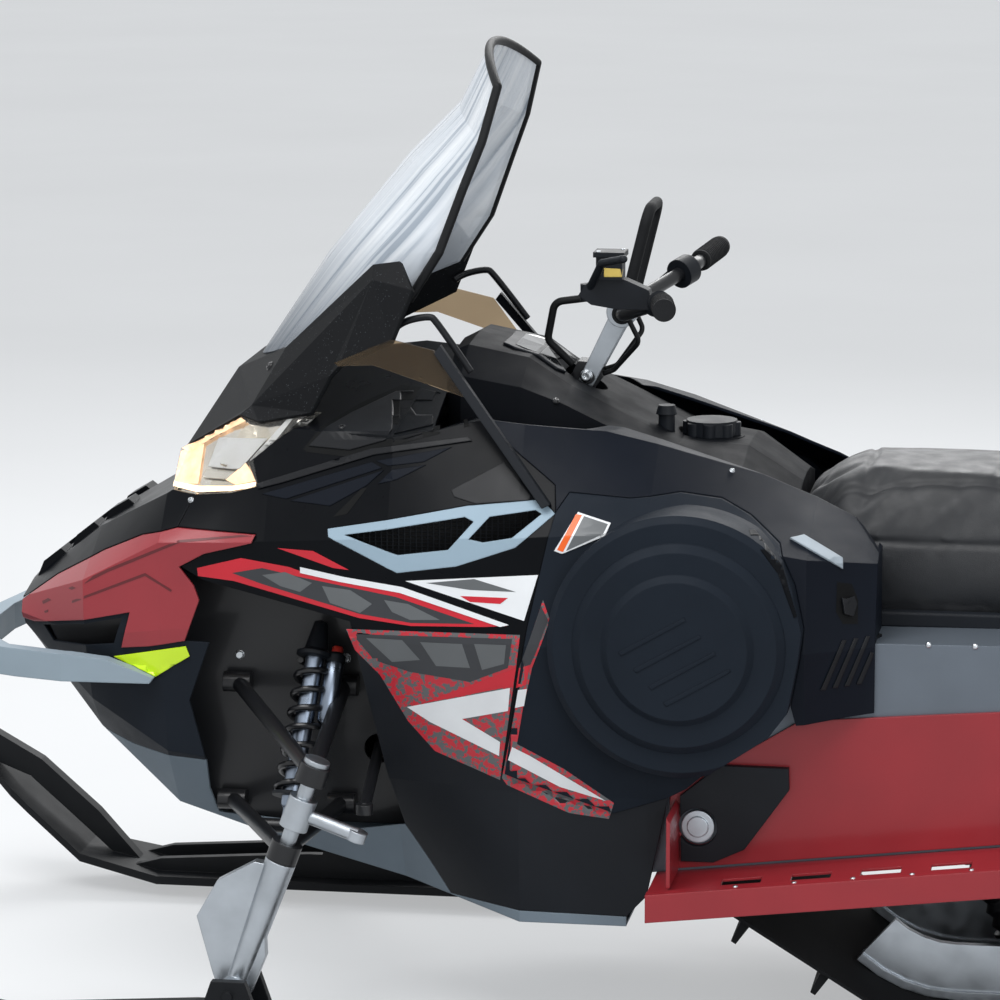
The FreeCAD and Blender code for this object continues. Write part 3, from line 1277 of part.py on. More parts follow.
def console():
    neck = rod((size("cap_x"), 0, CAP_Z - 40), (size("cap_x"), 0, CAP_Z), size("cap_r") + 6)
    bore = rod(tuple(TOP - COLUMN * 80), tuple(TOP + COLUMN * 45), 46)
    above = rod((size("cap_x"), 0, CAP_Z), (size("cap_x"), 0, CAP_Z + 60), size("cap_r") + 6)
    column = rod(tuple(TOP), tuple(LOW), size("column_r") + size("column_gap"))
    return half_section_loft(CONSOLE_TABLE).fuse(neck).cut([bore, above, TUNNEL_BODY, column])


CONSOLE = keep("console", console())


def fuel_cap():
    body = doc.addObject("PartDesign::Body", "fuel_cap")
    disc = circle_sketch(body, "CapDisc", "XY_Plane", ("0", "0"), "Sizes.cap_r - 6")
    extrusion(body, "Pad", "CapPad", disc, "Sizes.cap_height", False)
    lobe = circle_sketch(body, "CapLobe", "XY_Plane", ("Sizes.cap_r - Sizes.lobe_r", "0"), "Sizes.lobe_r")
    grip_pad = extrusion(body, "Pad", "LobePad", lobe, "Sizes.cap_height - 3", False)
    lobes = body.newObject("PartDesign::PolarPattern", "Lobes")
    lobes.Originals = [grip_pad]
    lobes.Axis = (lobe, ["N_Axis"])
    lobes.Angle = 360
    lobes.setExpression("Occurrences", "Sizes.lobe_count")
    body.Tip = lobes
    place(body, "Sizes.cap_x", "0", "Sizes.cap_z + Sizes.cap_gap")
    doc.recompute()
    keep_object("fuel_cap", body)


fuel_cap()


def tether_switch():
    """The stop switch with its cap on the console."""
    foot = Vector(412, 46, 880)
    stem = Part.makeCylinder(13, 66, foot)
    cap = Part.makeCone(17, 13, 14, foot + Vector(0, 0, 60))
    return joined([stem, cap]).cut(CONSOLE)


keep("tether_switch", tether_switch())

SEAT_TABLE = [
    # station, base half width, side half width and height, top edge half width and height, crown height
    (192, (100, 636), (115, 760), (80, 830), 838),
    (130, (150, 636), (165, 780), (120, 858), 866),
    (0, (165, 636), (180, 780), (140, 856), 864),
    (-300, (170, 640), (190, 780), (150, 852), 860),
    (-600, (170, 644), (190, 790), (150, 862), 870),
    (-860, (165, 648), (180, 780), (140, 866), 874),
]
keep("seat", half_section_loft(SEAT_TABLE).cut([CONSOLE, TUNNEL_BODY]))


# Bumpers, rack, hitch, flap and lamp
def front_bumper():
    plan = [(1150, 284), (1330, 292), (1440, 262), (1500, 180), (1520, 60), (1520, -60), (1500, -180),
            (1440, -262), (1330, -292), (1150, -284)]
    outer = Part.Face(Part.makePolygon([Vector(x, y, 400) for x, y in plan + plan[:1]]))
    inner = outer.makeOffset2D(-24)
    band = outer.cut(inner).extrude(Vector(0, 0, 400))
    side = side_plate([(1540, 582), (1319, 577), (1259, 570), (1184, 542), (1191, 533), (1409, 534), (1540, 540)],
                      -WIDE, WIDE)
    return band.common(side).cut(SKIN_OUT)


BUMPER = front_bumper()
keep("front_bumper", max(BUMPER.Solids, key=lambda solid: solid.Volume))


def rear_bumper():
    side = TUNNEL_OUT + 14.3
    rear = size("rear_x") + 14
    return bent_tube([(-1250, side, 560), (rear + 60, side, 590), (rear, side - 90, 596), (rear, -side + 90, 596),
                      (rear + 60, -side, 590), (-1250, -side, 560)], 14, 40)


keep("rear_bumper", rear_bumper())


def cargo_rack():
    deck = 712
    tube = 9
    front, rear, half = -890, -1480, 235
    bars = [bent_tube([(front, half - 80, deck), (front, half, deck), (rear, half, deck), (rear, -half, deck),
                       (front, -half, deck), (front, -half + 80, deck)], tube, 40)]
    bars.append(rod((front, -half + 80, deck), (front, half - 80, deck), tube))
    for k in range(1, 5):
        x = front + (rear - front) * k / 5
        bars.append(rod((x, -half, deck), (x, half, deck), tube - 1))
    for x in (front + 90, rear + 90):
        for side in (-1, 1):
            bars.append(rod((x, side * half, roof_height(x)), (x, side * half, deck), tube))
    return joined(bars)


keep("cargo_rack", cargo_rack().cut(TUNNEL_BODY))


def hitch():
    """Cross plate on the tunnel's rear end and the tongue with its pin hole."""
    body = doc.addObject("PartDesign::Body", "hitch")
    rear = "Sizes.tunnel_rear"
    low, high = "Sizes.tongue_low", "Sizes.tongue_low + Sizes.tongue_thick"
    cross = body_sketch(body, "CrossPlate", "XZ_Plane", [
        (rear, f"{low} - 20"), (f"{rear} + 6", f"{low} - 20"), (f"{rear} + 6", "Sizes.tunnel_top"),
        (rear, "Sizes.tunnel_top")])
    extrusion(body, "Pad", "CrossPad", cross, f"2 * {IN_TEXT}")
    tongue = body_sketch(body, "Tongue", "XZ_Plane", [
        (f"{rear} + 6", low), (f"{rear} + 6", high), (f"{rear} - Sizes.tongue_reach", high),
        (f"{rear} - Sizes.tongue_reach", low)])
    extrusion(body, "Pad", "TonguePad", tongue, "2 * Sizes.tongue_half")
    hole = circle_sketch(body, "PinHole", "XY_Plane", (f"{rear} - Sizes.pin_x", "0"), "Sizes.pin_r")
    extrusion(body, "Pocket", "PinPocket", hole, "2 * Sizes.tunnel_top")
    doc.recompute()
    keep_object("hitch", body)


hitch()


def snow_flap():
    body = doc.addObject("PartDesign::Body", "snow_flap")
    rear = "Sizes.tunnel_rear"
    knee, drop = "Sizes.flap_reach / 3", "Sizes.flap_top * 0.66"
    outline = body_sketch(body, "Flap", "XZ_Plane", [
        (rear, "Sizes.flap_top"), (f"{rear} + Sizes.flap_thick", "Sizes.flap_top"),
        (f"{rear} + Sizes.flap_thick - {knee}", drop), (f"{rear} - Sizes.flap_reach", "Sizes.flap_foot"),
        (f"{rear} - Sizes.flap_reach - Sizes.flap_thick", "Sizes.flap_foot + 3"), (f"{rear} - 2 - {knee}", f"{drop} + 4")])
    extrusion(body, "Pad", "FlapPad", outline, "2 * Sizes.flap_half")
    doc.recompute()
    keep_object("snow_flap", body)


snow_flap()
sheet_box("tail_lamp", "Sizes.tunnel_rear - Sizes.lamp_deep", f"Sizes.tunnel_rear - {RUNNING_GAP}", "Sizes.lamp_half",
          "Sizes.lamp_low", "Sizes.lamp_low + Sizes.lamp_high")

# Exported sub-parts
doc.recompute()
for node in nodes:
    if node.State and ("Invalid" in node.State or "Error" in node.State):
        raise RuntimeError(f"{node.Label} failed: {node.State}")
    if node.Shape.isNull() or not node.Shape.isValid():
        raise RuntimeError(f"{node.Label} has no valid shape")
for node in nodes:
    node.Shape.exportStep(f"parts/{node.Label}.step")
print(len(nodes), "sub-parts")
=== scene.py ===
import math

import bmesh
import bpy
from mathutils import Matrix, Vector
from mathutils.bvhtree import BVHTree


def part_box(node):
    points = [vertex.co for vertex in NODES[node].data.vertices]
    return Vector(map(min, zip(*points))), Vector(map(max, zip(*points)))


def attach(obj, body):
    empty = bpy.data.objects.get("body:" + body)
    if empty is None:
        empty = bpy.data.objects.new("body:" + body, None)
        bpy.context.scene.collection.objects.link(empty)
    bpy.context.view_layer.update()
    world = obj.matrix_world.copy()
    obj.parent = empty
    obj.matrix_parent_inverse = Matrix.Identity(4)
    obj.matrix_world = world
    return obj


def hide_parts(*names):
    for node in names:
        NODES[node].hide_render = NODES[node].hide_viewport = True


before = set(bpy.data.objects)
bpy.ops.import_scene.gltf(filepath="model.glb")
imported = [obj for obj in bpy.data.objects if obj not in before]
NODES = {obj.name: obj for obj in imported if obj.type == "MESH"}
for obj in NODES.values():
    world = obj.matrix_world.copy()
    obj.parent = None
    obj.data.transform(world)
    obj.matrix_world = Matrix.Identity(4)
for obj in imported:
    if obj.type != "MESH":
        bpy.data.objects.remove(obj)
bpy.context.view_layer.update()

# Camera at the photograph's viewing angle; the picture is 1000 by 1000 points
EYE = Vector((-0.45675, 7.19805, 2.13707))
TURN, TILT = math.radians(9.0), math.radians(10.5)
LENS, SENSOR = 168.0, 36.0
LOOK = Vector((math.sin(TURN) * math.cos(TILT), -math.cos(TURN) * math.cos(TILT), -math.sin(TILT)))
RIGHT = Vector((-math.cos(TURN), -math.sin(TURN), 0.0))
UP = (-LOOK).cross(RIGHT)
PICTURE = 1000.0
FOCAL = LENS / SENSOR * PICTURE

camera_data = bpy.data.cameras.new("camera")
camera_data.lens = LENS
camera_data.sensor_width = SENSOR
camera_data.clip_end = 60.0
camera = bpy.data.objects.new("camera", camera_data)
bpy.context.scene.collection.objects.link(camera)
camera.matrix_world = Matrix.Translation(EYE) @ Matrix((RIGHT, UP, -LOOK)).transposed().to_4x4()
bpy.context.scene.camera = camera
bpy.context.scene.view_settings.view_transform = "Standard"


def pixel_ray(x, y):
    """Direction from the eye through a point of the picture."""
    return (LOOK * FOCAL + RIGHT * (x - PICTURE / 2) - UP * (y - PICTURE / 2)).normalized()


def surface_of(names):
    """A search tree over the meshes of some nodes."""
    points, faces = [], []
    for name in names.split():
        mesh = NODES[name].data
        first = len(points)
        points += [v.co.copy() for v in mesh.vertices]
        faces += [[first + i for i in polygon.vertices] for polygon in mesh.polygons]
    return BVHTree.FromPolygons(points, faces)


# Materials
def srgb(r, g, b):
    """A linear colour from display values of 0 to 255."""
    shares = (r / 255, g / 255, b / 255)
    return tuple(c / 12.92 if c <= 0.04045 else ((c + 0.055) / 1.055) ** 2.4 for c in shares)


SOFT_EDGE = 0.0025


class Surface:
    """A node-based material round one Principled shader, its normals rounded over an edge's radius."""

    def __init__(self, name, rough=0.5, metal=0.0, coat=0.0, coat_rough=0.1, specular=0.5, edge=SOFT_EDGE):
        self.material = bpy.data.materials.new(name)
        self.material.use_nodes = True
        self.tree = self.material.node_tree
        self.shader = self.tree.nodes["Principled BSDF"]
        self.set("Roughness", rough)
        self.set("Metallic", metal)
        self.set("Coat Weight", coat)
        self.set("Coat Roughness", coat_rough)
        self.set("Specular IOR Level", specular)
        self.coordinates = self.add("ShaderNodeTexCoord").outputs["Object"]
        self.normal = None
        if edge:
            self.normal = self.add("ShaderNodeBevel", samples=4, Radius=edge).outputs["Normal"]
            self.link(self.normal, self.shader.inputs["Normal"])

    def set(self, socket, value):
        self.shader.inputs[socket].default_value = value

    def add(self, kind, **values):
        node = self.tree.nodes.new(kind)
        for key, value in values.items():
            if key in node.inputs:
                node.inputs[key].default_value = value
            else:
                setattr(node, key, value)
        return node

    def link(self, source, target):
        self.tree.links.new(source, target)

    def stretched(self, scale):
        mapping = self.add("ShaderNodeMapping", Scale=scale)
        self.link(self.coordinates, mapping.inputs["Vector"])
        return mapping.outputs["Vector"]

    def noise(self, scale, detail=4.0, rough=0.5, stretch=None):
        node = self.add("ShaderNodeTexNoise", Scale=scale, Detail=detail, Roughness=rough)
        self.link(self.stretched(stretch) if stretch else self.coordinates, node.inputs["Vector"])
        return node.outputs["Fac"]

    def voronoi(self, scale, feature="F1", stretch=None):
        node = self.add("ShaderNodeTexVoronoi", Scale=scale, feature=feature)
        self.link(self.stretched(stretch) if stretch else self.coordinates, node.inputs["Vector"])
        return node.outputs["Distance"]

    def ramp(self, source, stops):
        node = self.add("ShaderNodeValToRGB")
        while len(node.color_ramp.elements) < len(stops):
            node.color_ramp.elements.new(0.5)
        for element, (place, colour) in zip(node.color_ramp.elements, stops):
            element.position = place
            element.color = (*colour, 1.0)
        self.link(source, node.inputs["Fac"])
        return node.outputs["Color"]

    def spread(self, source, low, high, start=0.3, end=0.7):
        span = {"From Min": start, "From Max": end, "To Min": low, "To Max": high}
        node = self.add("ShaderNodeMapRange", **span)
        self.link(source, node.inputs["Value"])
        return node.outputs["Result"]

    def colour(self, source):
        self.link(source, self.shader.inputs["Base Color"])
        return self

    def roughness(self, source):
        self.link(source, self.shader.inputs["Roughness"])
        return self

    def bump(self, source, strength, distance=0.001):
        node = self.add("ShaderNodeBump", Strength=strength, Distance=distance)
        self.link(source, node.inputs["Height"])
        if self.normal:
            self.link(self.normal, node.inputs["Normal"])
        self.normal = node.outputs["Normal"]
        self.link(self.normal, self.shader.inputs["Normal"])
        return self


def shade(colour, factor):
    return tuple(min(1.0, c * factor) for c in colour)


def moulded(name, colour, rough, grain=900.0, strength=0.25, coat=0.0, specular=0.18, vary=0.12):
    """Moulded plastic: fine grain, slight clouds of tone and gloss."""
    made = Surface(name, rough=rough, coat=coat, specular=specular)
    clouds = made.noise(6.0, 5.0)
    made.colour(made.ramp(clouds, [(0.3, shade(colour, 1 - vary)), (0.7, shade(colour, 1 + vary))]))
    made.roughness(made.spread(made.noise(22.0), rough * 0.9, min(1.0, rough * 1.12)))
    made.bump(made.noise(grain, 2.0), strength, 0.0004)
    return made


def painted(name, colour, rough, flake=0.0, metal=0.0, coat=0.6):
    made = Surface(name, rough=rough, metal=metal, coat=coat, coat_rough=0.12, specular=0.35)
    made.colour(made.ramp(made.noise(9.0, 5.0), [(0.3, shade(colour, 0.93)), (0.7, shade(colour, 1.07))]))
    made.bump(made.noise(260.0, 2.0), 0.05 + flake, 0.0004)
    return made


def rubber(name, colour, rough=0.8, grain=420.0):
    made = Surface(name, rough=rough, specular=0.22)
    made.colour(made.ramp(made.noise(12.0, 6.0), [(0.3, shade(colour, 0.8)), (0.75, shade(colour, 1.35))]))
    made.bump(made.noise(grain, 4.0), 0.5, 0.0008)
    return made


def metal(name, colour, rough, stretch=None):
    made = Surface(name, rough=rough, metal=1.0)
    made.colour(made.ramp(made.noise(14.0, 6.0), [(0.3, shade(colour, 0.85)), (0.7, shade(colour, 1.1))]))
    made.roughness(made.spread(made.noise(40.0, 6.0, stretch=stretch), rough * 0.8, min(1.0, rough * 1.25)))
    made.bump(made.noise(300.0, 3.0, stretch=stretch), 0.12, 0.0003)
    return made


DEEP = srgb(9, 11, 14)


def speckled():
    """Matt black shell with pale specks."""
    made = Surface("speckled_black", rough=0.55, specular=0.16)
    stops = [(0.0, srgb(205, 212, 218)), (0.085, srgb(120, 126, 132)), (0.12, DEEP)]
    specks = made.ramp(made.voronoi(310.0), stops)
    mask = made.noise(45.0, 2.0)
    mix = made.add("ShaderNodeMix", data_type="RGBA")
    made.link(made.spread(mask, 0.0, 1.0, 0.42, 0.6), mix.inputs["Factor"])
    mix.inputs["A"].default_value = (*DEEP, 1.0)
    made.link(specks, mix.inputs["B"])
    made.colour(mix.outputs["Result"])
    made.bump(made.noise(700.0, 2.0), 0.3, 0.0004)
    return made


def clear_pane():
    """Milky clear sheet, creased along its length and smoky at its foot; lighter and darker along the folds
    as painted highlights and shade.
    """
    made = Surface("clear_pane", rough=0.3, specular=0.4, edge=0.0)
    streaks = made.noise(5.0, 4.0, 0.55, stretch=(1.4, 7.0, 0.9))
    place = made.add("ShaderNodeSeparateXYZ")
    made.link(made.coordinates, place.inputs["Vector"])
    foot = made.spread(place.outputs["Z"], 0.0, 1.0, 1.03, 1.24)
    folds = made.noise(3.0, 3.0, 0.5, stretch=(0.7, 30.0, 0.5))
    # painted highlights and shade: the sheet's milky tone is its own, its grey and near-white bands follow
    # the folds
    stops = [(0.36, srgb(158, 168, 179)), (0.44, srgb(214, 220, 227)), (0.66, srgb(240, 243, 246))]
    painted_fold_light = made.ramp(folds, stops)
    mix = made.add("ShaderNodeMix", data_type="RGBA")
    made.link(foot, mix.inputs["Factor"])
    mix.inputs["A"].default_value = (*srgb(92, 101, 112), 1.0)
    made.link(painted_fold_light, mix.inputs["B"])
    made.colour(mix.outputs["Result"])
    made.set("Alpha", 0.66)
    made.roughness(made.spread(streaks, 0.2, 0.42))
    made.bump(streaks, 0.5, 0.006)
    made.bump(folds, 0.6, 0.003)
    return made


def smoked_pane():
    """Thin smoked sheet, amber where light comes through."""
    made = Surface("smoked_pane", rough=0.06, edge=0.0)
    made.set("Transmission Weight", 0.94)
    made.set("IOR", 1.25)
    made.colour(made.ramp(made.noise(9.0, 3.0), [(0.3, srgb(170, 148, 120)), (0.7, srgb(184, 162, 132))]))
    return made


def lamp_glass():
    made = Surface("lamp_glass", rough=0.03, coat=0.3, edge=0.0)
    made.set("Transmission Weight", 0.96)
    made.set("IOR", 1.2)
    made.colour(made.ramp(made.noise(30.0), [(0.3, srgb(244, 240, 230)), (0.7, srgb(255, 252, 246))]))
    made.bump(made.noise(18.0, 2.0), 0.05, 0.001)
    return made


def leather(name, colour):
    """Grained seat cover."""
    made = Surface(name, rough=0.52, specular=0.45)
    made.set("Sheen Weight", 0.12)
    made.colour(made.ramp(made.noise(10.0, 6.0), [(0.3, shade(colour, 0.82)), (0.7, shade(colour, 1.25))]))
    made.roughness(made.spread(made.noise(30.0, 4.0), 0.42, 0.62))
    made.bump(made.voronoi(520.0, "DISTANCE_TO_EDGE"), 0.35, 0.0008)
    made.bump(made.noise(60.0, 3.0), 0.2, 0.0015)
    return made


def screen_mesh():
    """Fine black lattice, its gaps near black for the duct behind: black plastic deepened by painted shade.
    """
    made = Surface("screen_mesh", rough=0.5, specular=0.3)
    node = made.add("ShaderNodeTexVoronoi", Scale=110.0, Randomness=0.0, feature="DISTANCE_TO_EDGE")
    made.link(made.stretched((1.0, 0.001, 1.6)), node.inputs["Vector"])
    wires = node.outputs["Distance"]
    # painted shade: the gaps between the wires are near black for the unlit duct behind the lattice
    made.colour(made.ramp(wires, [(0.1, srgb(34, 37, 42)), (0.16, srgb(3, 3, 4))]))
    made.bump(made.spread(wires, 1.0, 0.0, 0.05, 0.2), 0.6, 0.002)
    return made


def spattered():
    """Grey field broken by red spatter."""
    made = Surface("print_spatter", rough=0.4, coat=0.2)
    blots = made.noise(95.0, 6.0, 0.65)
    made.colour(made.ramp(blots, [(0.49, srgb(86, 88, 90)), (0.5, srgb(186, 30, 46))]))
    made.bump(made.noise(260.0, 2.0), 0.05, 0.0004)
    return made


def glowing(name, colour, strength, soft=0.5):
    """A warm lit guide, brighter in patches."""
    made = Surface(name, rough=0.3, edge=0.0)
    made.colour(made.ramp(made.noise(40.0), [(0.3, shade(colour, 0.9)), (0.7, colour)]))
    made.set("Emission Color", (*colour, 1.0))
    patches = made.spread(made.noise(55.0, 3.0), strength * (1 - soft), strength * (1 + soft))
    made.link(patches, made.shader.inputs["Emission Strength"])
    return made


looks = {
    "black": moulded("black_plastic", srgb(22, 25, 30), 0.46, vary=0.18),
    "side_black": moulded("side_black", srgb(25, 31, 39), 0.56, 1300.0, 0.4, specular=0.09),
    "gloss": moulded("gloss_black", srgb(7, 9, 13), 0.3, 300.0, 0.04, coat=0.02, specular=0.08),
    "satin": moulded("satin_black", srgb(14, 16, 20), 0.4, strength=0.1, specular=0.22),
    # painted shade: near-black plastic laid as flat sheets in pockets, slits and recesses where shade falls
    "hollow": moulded("shadow_plastic", srgb(4, 5, 6), 0.6, specular=0.15),
    "console": moulded("console_plastic", srgb(13, 15, 19), 0.58, 1100.0, 0.35, specular=0.06),
    "tank": moulded("tank_plastic", srgb(13, 18, 27), 0.46, 1300.0, 0.3, specular=0.1),
    "low_nose": moulded("low_nose_plastic", srgb(27, 32, 39), 0.5, 1100.0, 0.3, specular=0.1),
    "pale": moulded("pale_plastic", srgb(146, 166, 180), 0.42, vary=0.04),
    "bumper": moulded("bumper_plastic", srgb(144, 158, 168), 0.5, vary=0.06),
    "belly": moulded("belly_plastic", srgb(116, 128, 138), 0.55, vary=0.1),
    "strip": moulded("strip_plastic", srgb(150, 160, 168), 0.4),
    "wheel": moulded("wheel_plastic", srgb(18, 19, 22), 0.5),
    "ski": moulded("ski_plastic", srgb(17, 19, 22), 0.48),
    "speckled": speckled(),
    "red": painted("red_plastic", srgb(146, 42, 50), 0.36, coat=0.3),
    # painted shade: a darker red laid along the fender creases where the surface turns from the light
    "crease": painted("red_crease", srgb(92, 24, 30), 0.4, coat=0.2),
    "red_alloy": painted("red_alloy", srgb(142, 32, 40), 0.42, flake=0.1, coat=0.3),
    "tunnel": painted("tunnel_paint", srgb(96, 104, 113), 0.48, flake=0.15, metal=0.35, coat=0.15),
    "steel_black": painted("black_steel", srgb(20, 21, 24), 0.4, coat=0.2),
    "spring": painted("spring_paint", srgb(16, 17, 20), 0.3, coat=0.3),
    "knob": painted("red_knob", srgb(178, 44, 34), 0.35, coat=0.3),
    "red_lens": painted("red_lens", srgb(150, 16, 22), 0.12, coat=0.8),
    "lens_black": painted("display_glass", srgb(8, 12, 16), 0.08, coat=0.6),
    "fluid": painted("fluid_window", srgb(196, 170, 84), 0.2, coat=0.5),
    "print_red": painted("print_red", srgb(196, 30, 46), 0.34, coat=0.2),
    "print_white": painted("print_white", srgb(226, 228, 230), 0.36, coat=0.2),
    "print_dark": painted("print_dark", srgb(46, 48, 52), 0.4, coat=0.2),
    "print_grey": painted("print_grey", srgb(92, 95, 97), 0.4, coat=0.2),
    "orange": painted("print_orange", srgb(232, 98, 30), 0.36, coat=0.2),
    "spatter": spattered(),
    "lime": painted("lime_reflector", srgb(206, 240, 20), 0.25, coat=0.6),
    "pane": clear_pane(),
    "smoked": smoked_pane(),
    "lamp": lamp_glass(),
    "lamp_white": painted("lamp_white", srgb(200, 203, 208), 0.25, coat=0.4),
    "lamp_chrome": metal("lamp_chrome", srgb(214, 212, 208), 0.12),
    "warm": glowing("warm_guide", srgb(255, 214, 172), 0.75),
    "bulb": glowing("lamp_bulb", srgb(255, 232, 200), 1.5, 0.3),
    "trim": rubber("trim_rubber", srgb(14, 15, 17), 0.55),
    "track": rubber("track_rubber", srgb(18, 19, 21), 0.85, 260.0),
    "flap": rubber("flap_rubber", srgb(22, 23, 25), 0.7),
    "grip": rubber("grip_rubber", srgb(18, 19, 21), 0.75),
    "seat": leather("seat_cover", srgb(19, 21, 25)),
    "mesh": screen_mesh(),
    "alloy": metal("satin_alloy", srgb(176, 182, 188), 0.36),
    "engine": metal("cast_alloy", srgb(120, 124, 128), 0.55),
    "steel": metal("bright_steel", srgb(196, 200, 204), 0.26),
    "damper": metal("damper_body", srgb(132, 142, 156), 0.3),
}

# The look of each node
FINISH = {
    "low_nose": "lower_nose",
    "black": "lower_sides wing_struts fuel_cap bar_controls tether_switch axle_guards",
    "side_black": "drive_covers",
    "gloss": "nose hood side_panels",
    "tank": "tank_panels",
    "mesh": "vent_screens",
    "red": "nose_fenders",
    "red_alloy": "running_boards toe_guards",
    "pale": "vent_frames",
    "bumper": "front_bumper",
    "belly": "belly_pan",
    "speckled": "cowl",
    "pane": "windshield",
    "smoked": "wind_wings",
    "lamp": "headlights",
    "trim": "windshield_trim control_lines",
    "track": "track",
    "flap": "snow_flap",
    "grip": "grips grab_loop",
    "tunnel": "tunnel",
    "steel_black": "rear_bumper cargo_rack hitch steering_column front_frame swing_arms track_shocks a_arms "
                   "front_shocks tie_rod_left tie_rod_right handlebar riser_pivot",
    "alloy": "riser ski_leg_left ski_leg_right slide_rails drive_axle",
    "engine": "engine_block",
    "wheel": "rear_idlers carrier_wheels bogie_wheels",
    "ski": "ski_left ski_right",
    "seat": "seat",
    "red_lens": "tail_lamp",
    "console": "console",
}
for look, names in FINISH.items():
    for name in names.split():
        node = NODES[name]
        node.data.materials.clear()
        node.data.materials.append(looks[look].material)

# Edges sharper than this, in degrees, stay sharp
SHARP = 35.0


def smoothed(mesh, angle=SHARP):
    """Smooth shading, with the edges sharper than an angle in degrees kept."""
    mesh.polygons.foreach_set("use_smooth", [True] * len(mesh.polygons))
    mesh.set_sharp_from_angle(angle=math.radians(angle))


for name in NODES:
    smoothed(NODES[name].data)


# Making pieces
def dressed(piece, look, body):
    """A new piece in the scene, with its look and the body it rides on."""
    bpy.context.scene.collection.objects.link(piece)
    piece.data.materials.append(looks[look].material)
    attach(piece, body)
    return piece


def new_piece(name, mesh, look, body="chassis"):
    data = bpy.data.meshes.new(name)
    mesh.normal_update()
    mesh.to_mesh(data)
    mesh.free()
    return dressed(bpy.data.objects.new(name, data), look, body)


def smooth_piece(name, mesh, look, body="chassis"):
    piece = new_piece(name, mesh, look, body)
    smoothed(piece.data)
    return piece


def pair(name, mesh, look, body="chassis", make=new_piece):
    """A piece on the left and its mirror image on the right."""
    other = mesh.copy()
    for vert in other.verts:
        vert.co.y = -vert.co.y
    bmesh.ops.reverse_faces(other, faces=other.faces[:])
    return [make(name + "_left", mesh, look, body), make(name + "_right", other, look, body)]


def smooth_pair(name, mesh, look, body="chassis"):
    return pair(name, mesh, look, body, smooth_piece)


def plated(pieces, thick, round_edge):
    """Sheets made into plates, outward, with their rims rounded; sizes in millimetres."""
    for piece in pieces:
        if thick:
            solid = piece.modifiers.new("thickness", "SOLIDIFY")
            solid.thickness = thick / 1000
            solid.offset = 1.0
        if thick and round_edge:
            edge = piece.modifiers.new("edge", "BEVEL")
            edge.width = round_edge / 1000
            edge.segments = 2
            edge.limit_method = "ANGLE"
            edge.angle_limit = math.radians(50.0)
    return pieces


def joined(parts):
    """One mesh from several, which are used up."""
    whole = bmesh.new()
    for part in parts:
        data = bpy.data.meshes.new("part")
        part.to_mesh(data)
        part.free()
        whole.from_mesh(data)
        bpy.data.meshes.remove(data)
    return whole


def outline_mesh(outline, step):
    """A closed outline, cut by a grid so that it can follow a surface."""
    mesh = bmesh.new()
    mesh.faces.new([mesh.verts.new((x, y, 0.0)) for x, y in outline])
    for axis in (0, 1):
        values = [point[axis] for point in outline]
        line = math.floor(min(values) / step) * step + step
        while line < max(values):
            plane = Vector((1.0, 0.0, 0.0) if axis == 0 else (0.0, 1.0, 0.0))
            geometry = mesh.verts[:] + mesh.edges[:] + mesh.faces[:]
            bmesh.ops.bisect_plane(mesh, geom=geometry, plane_co=plane * line, plane_no=plane)
            line += step
    bmesh.ops.triangulate(mesh, faces=mesh.faces[:])
    return mesh


# A jump in depth larger than this, in metres, is taken as a ray that slipped past the surface
JUMP, PRESSED_JUMP = 0.02, 0.05


def on_surface(name, outline, nodes, look, lift, step=7.0, thick=0.0, round_edge=0.0, body=None):
    """A sheet or a plate on the surface that the picture shows there, and its mirror image.

    The outline and the grid's step are in points of the picture, the other sizes in millimetres.
    A piece with a body of its own is on the left only.
    """
    tree = surface_of(nodes)
    mesh = outline_mesh(outline, step)
    rays, depths = {}, {}
    for vert in mesh.verts:
        rays[vert] = pixel_ray(vert.co.x, vert.co.y)
        depths[vert] = tree.ray_cast(EYE, rays[vert])[3]
    for _ in range(3):
        for vert in mesh.verts:
            others = [depths[edge.other_vert(vert)] for edge in vert.link_edges]
            near = sorted(depth for depth in others if depth)
            if near and (depths[vert] is None or abs(depths[vert] - near[len(near) // 2]) > JUMP):
                depths[vert] = near[len(near) // 2]
    for vert in mesh.verts:
        vert.co = EYE + rays[vert] * (depths[vert] - lift / 1000)
    bmesh.ops.recalc_face_normals(mesh, faces=mesh.faces[:])
    if sum(face.normal.y for face in mesh.faces) < 0:
        bmesh.ops.reverse_faces(mesh, faces=mesh.faces[:])
    pieces = [new_piece(name, mesh, look, body)] if body else pair(name, mesh, look)
    return plated(pieces, thick, round_edge)


def plates(nodes, rows):
    """Plates from rows of name, look, lift, grid step, thickness, rounding and outline."""
    for name, look, lift, step, thick, rounding, outline in rows:
        on_surface(name, outline, nodes, look, lift, step, thick, rounding)


def pressed(outline, place, across, up, nodes, lift, step):
    """A sheet drawn in millimetres on a plane at a place, moved along the plane's normal onto some nodes."""
    across, up = Vector(across).normalized(), Vector(up).normalized()
    inward = across.cross(up)
    tree = surface_of(nodes)
    mesh = outline_mesh(outline, step)
    found = {}
    for vert in mesh.verts:
        start = Vector(place) + across * vert.co.x / 1000 + up * vert.co.y / 1000
        found[vert] = (start, tree.ray_cast(start, inward)[3])
    reaches = sorted(reach for _, reach in found.values() if reach)
    usual = reaches[len(reaches) // 2]
    for vert, (start, reach) in found.items():
        if reach is None or abs(reach - usual) > PRESSED_JUMP:
            reach = usual
        vert.co = start + inward * (reach - lift / 1000)
    mesh.normal_update()
    if sum((face.normal * face.calc_area()).dot(inward) for face in mesh.faces) > 0:
        bmesh.ops.reverse_faces(mesh, faces=mesh.faces[:])
    return mesh


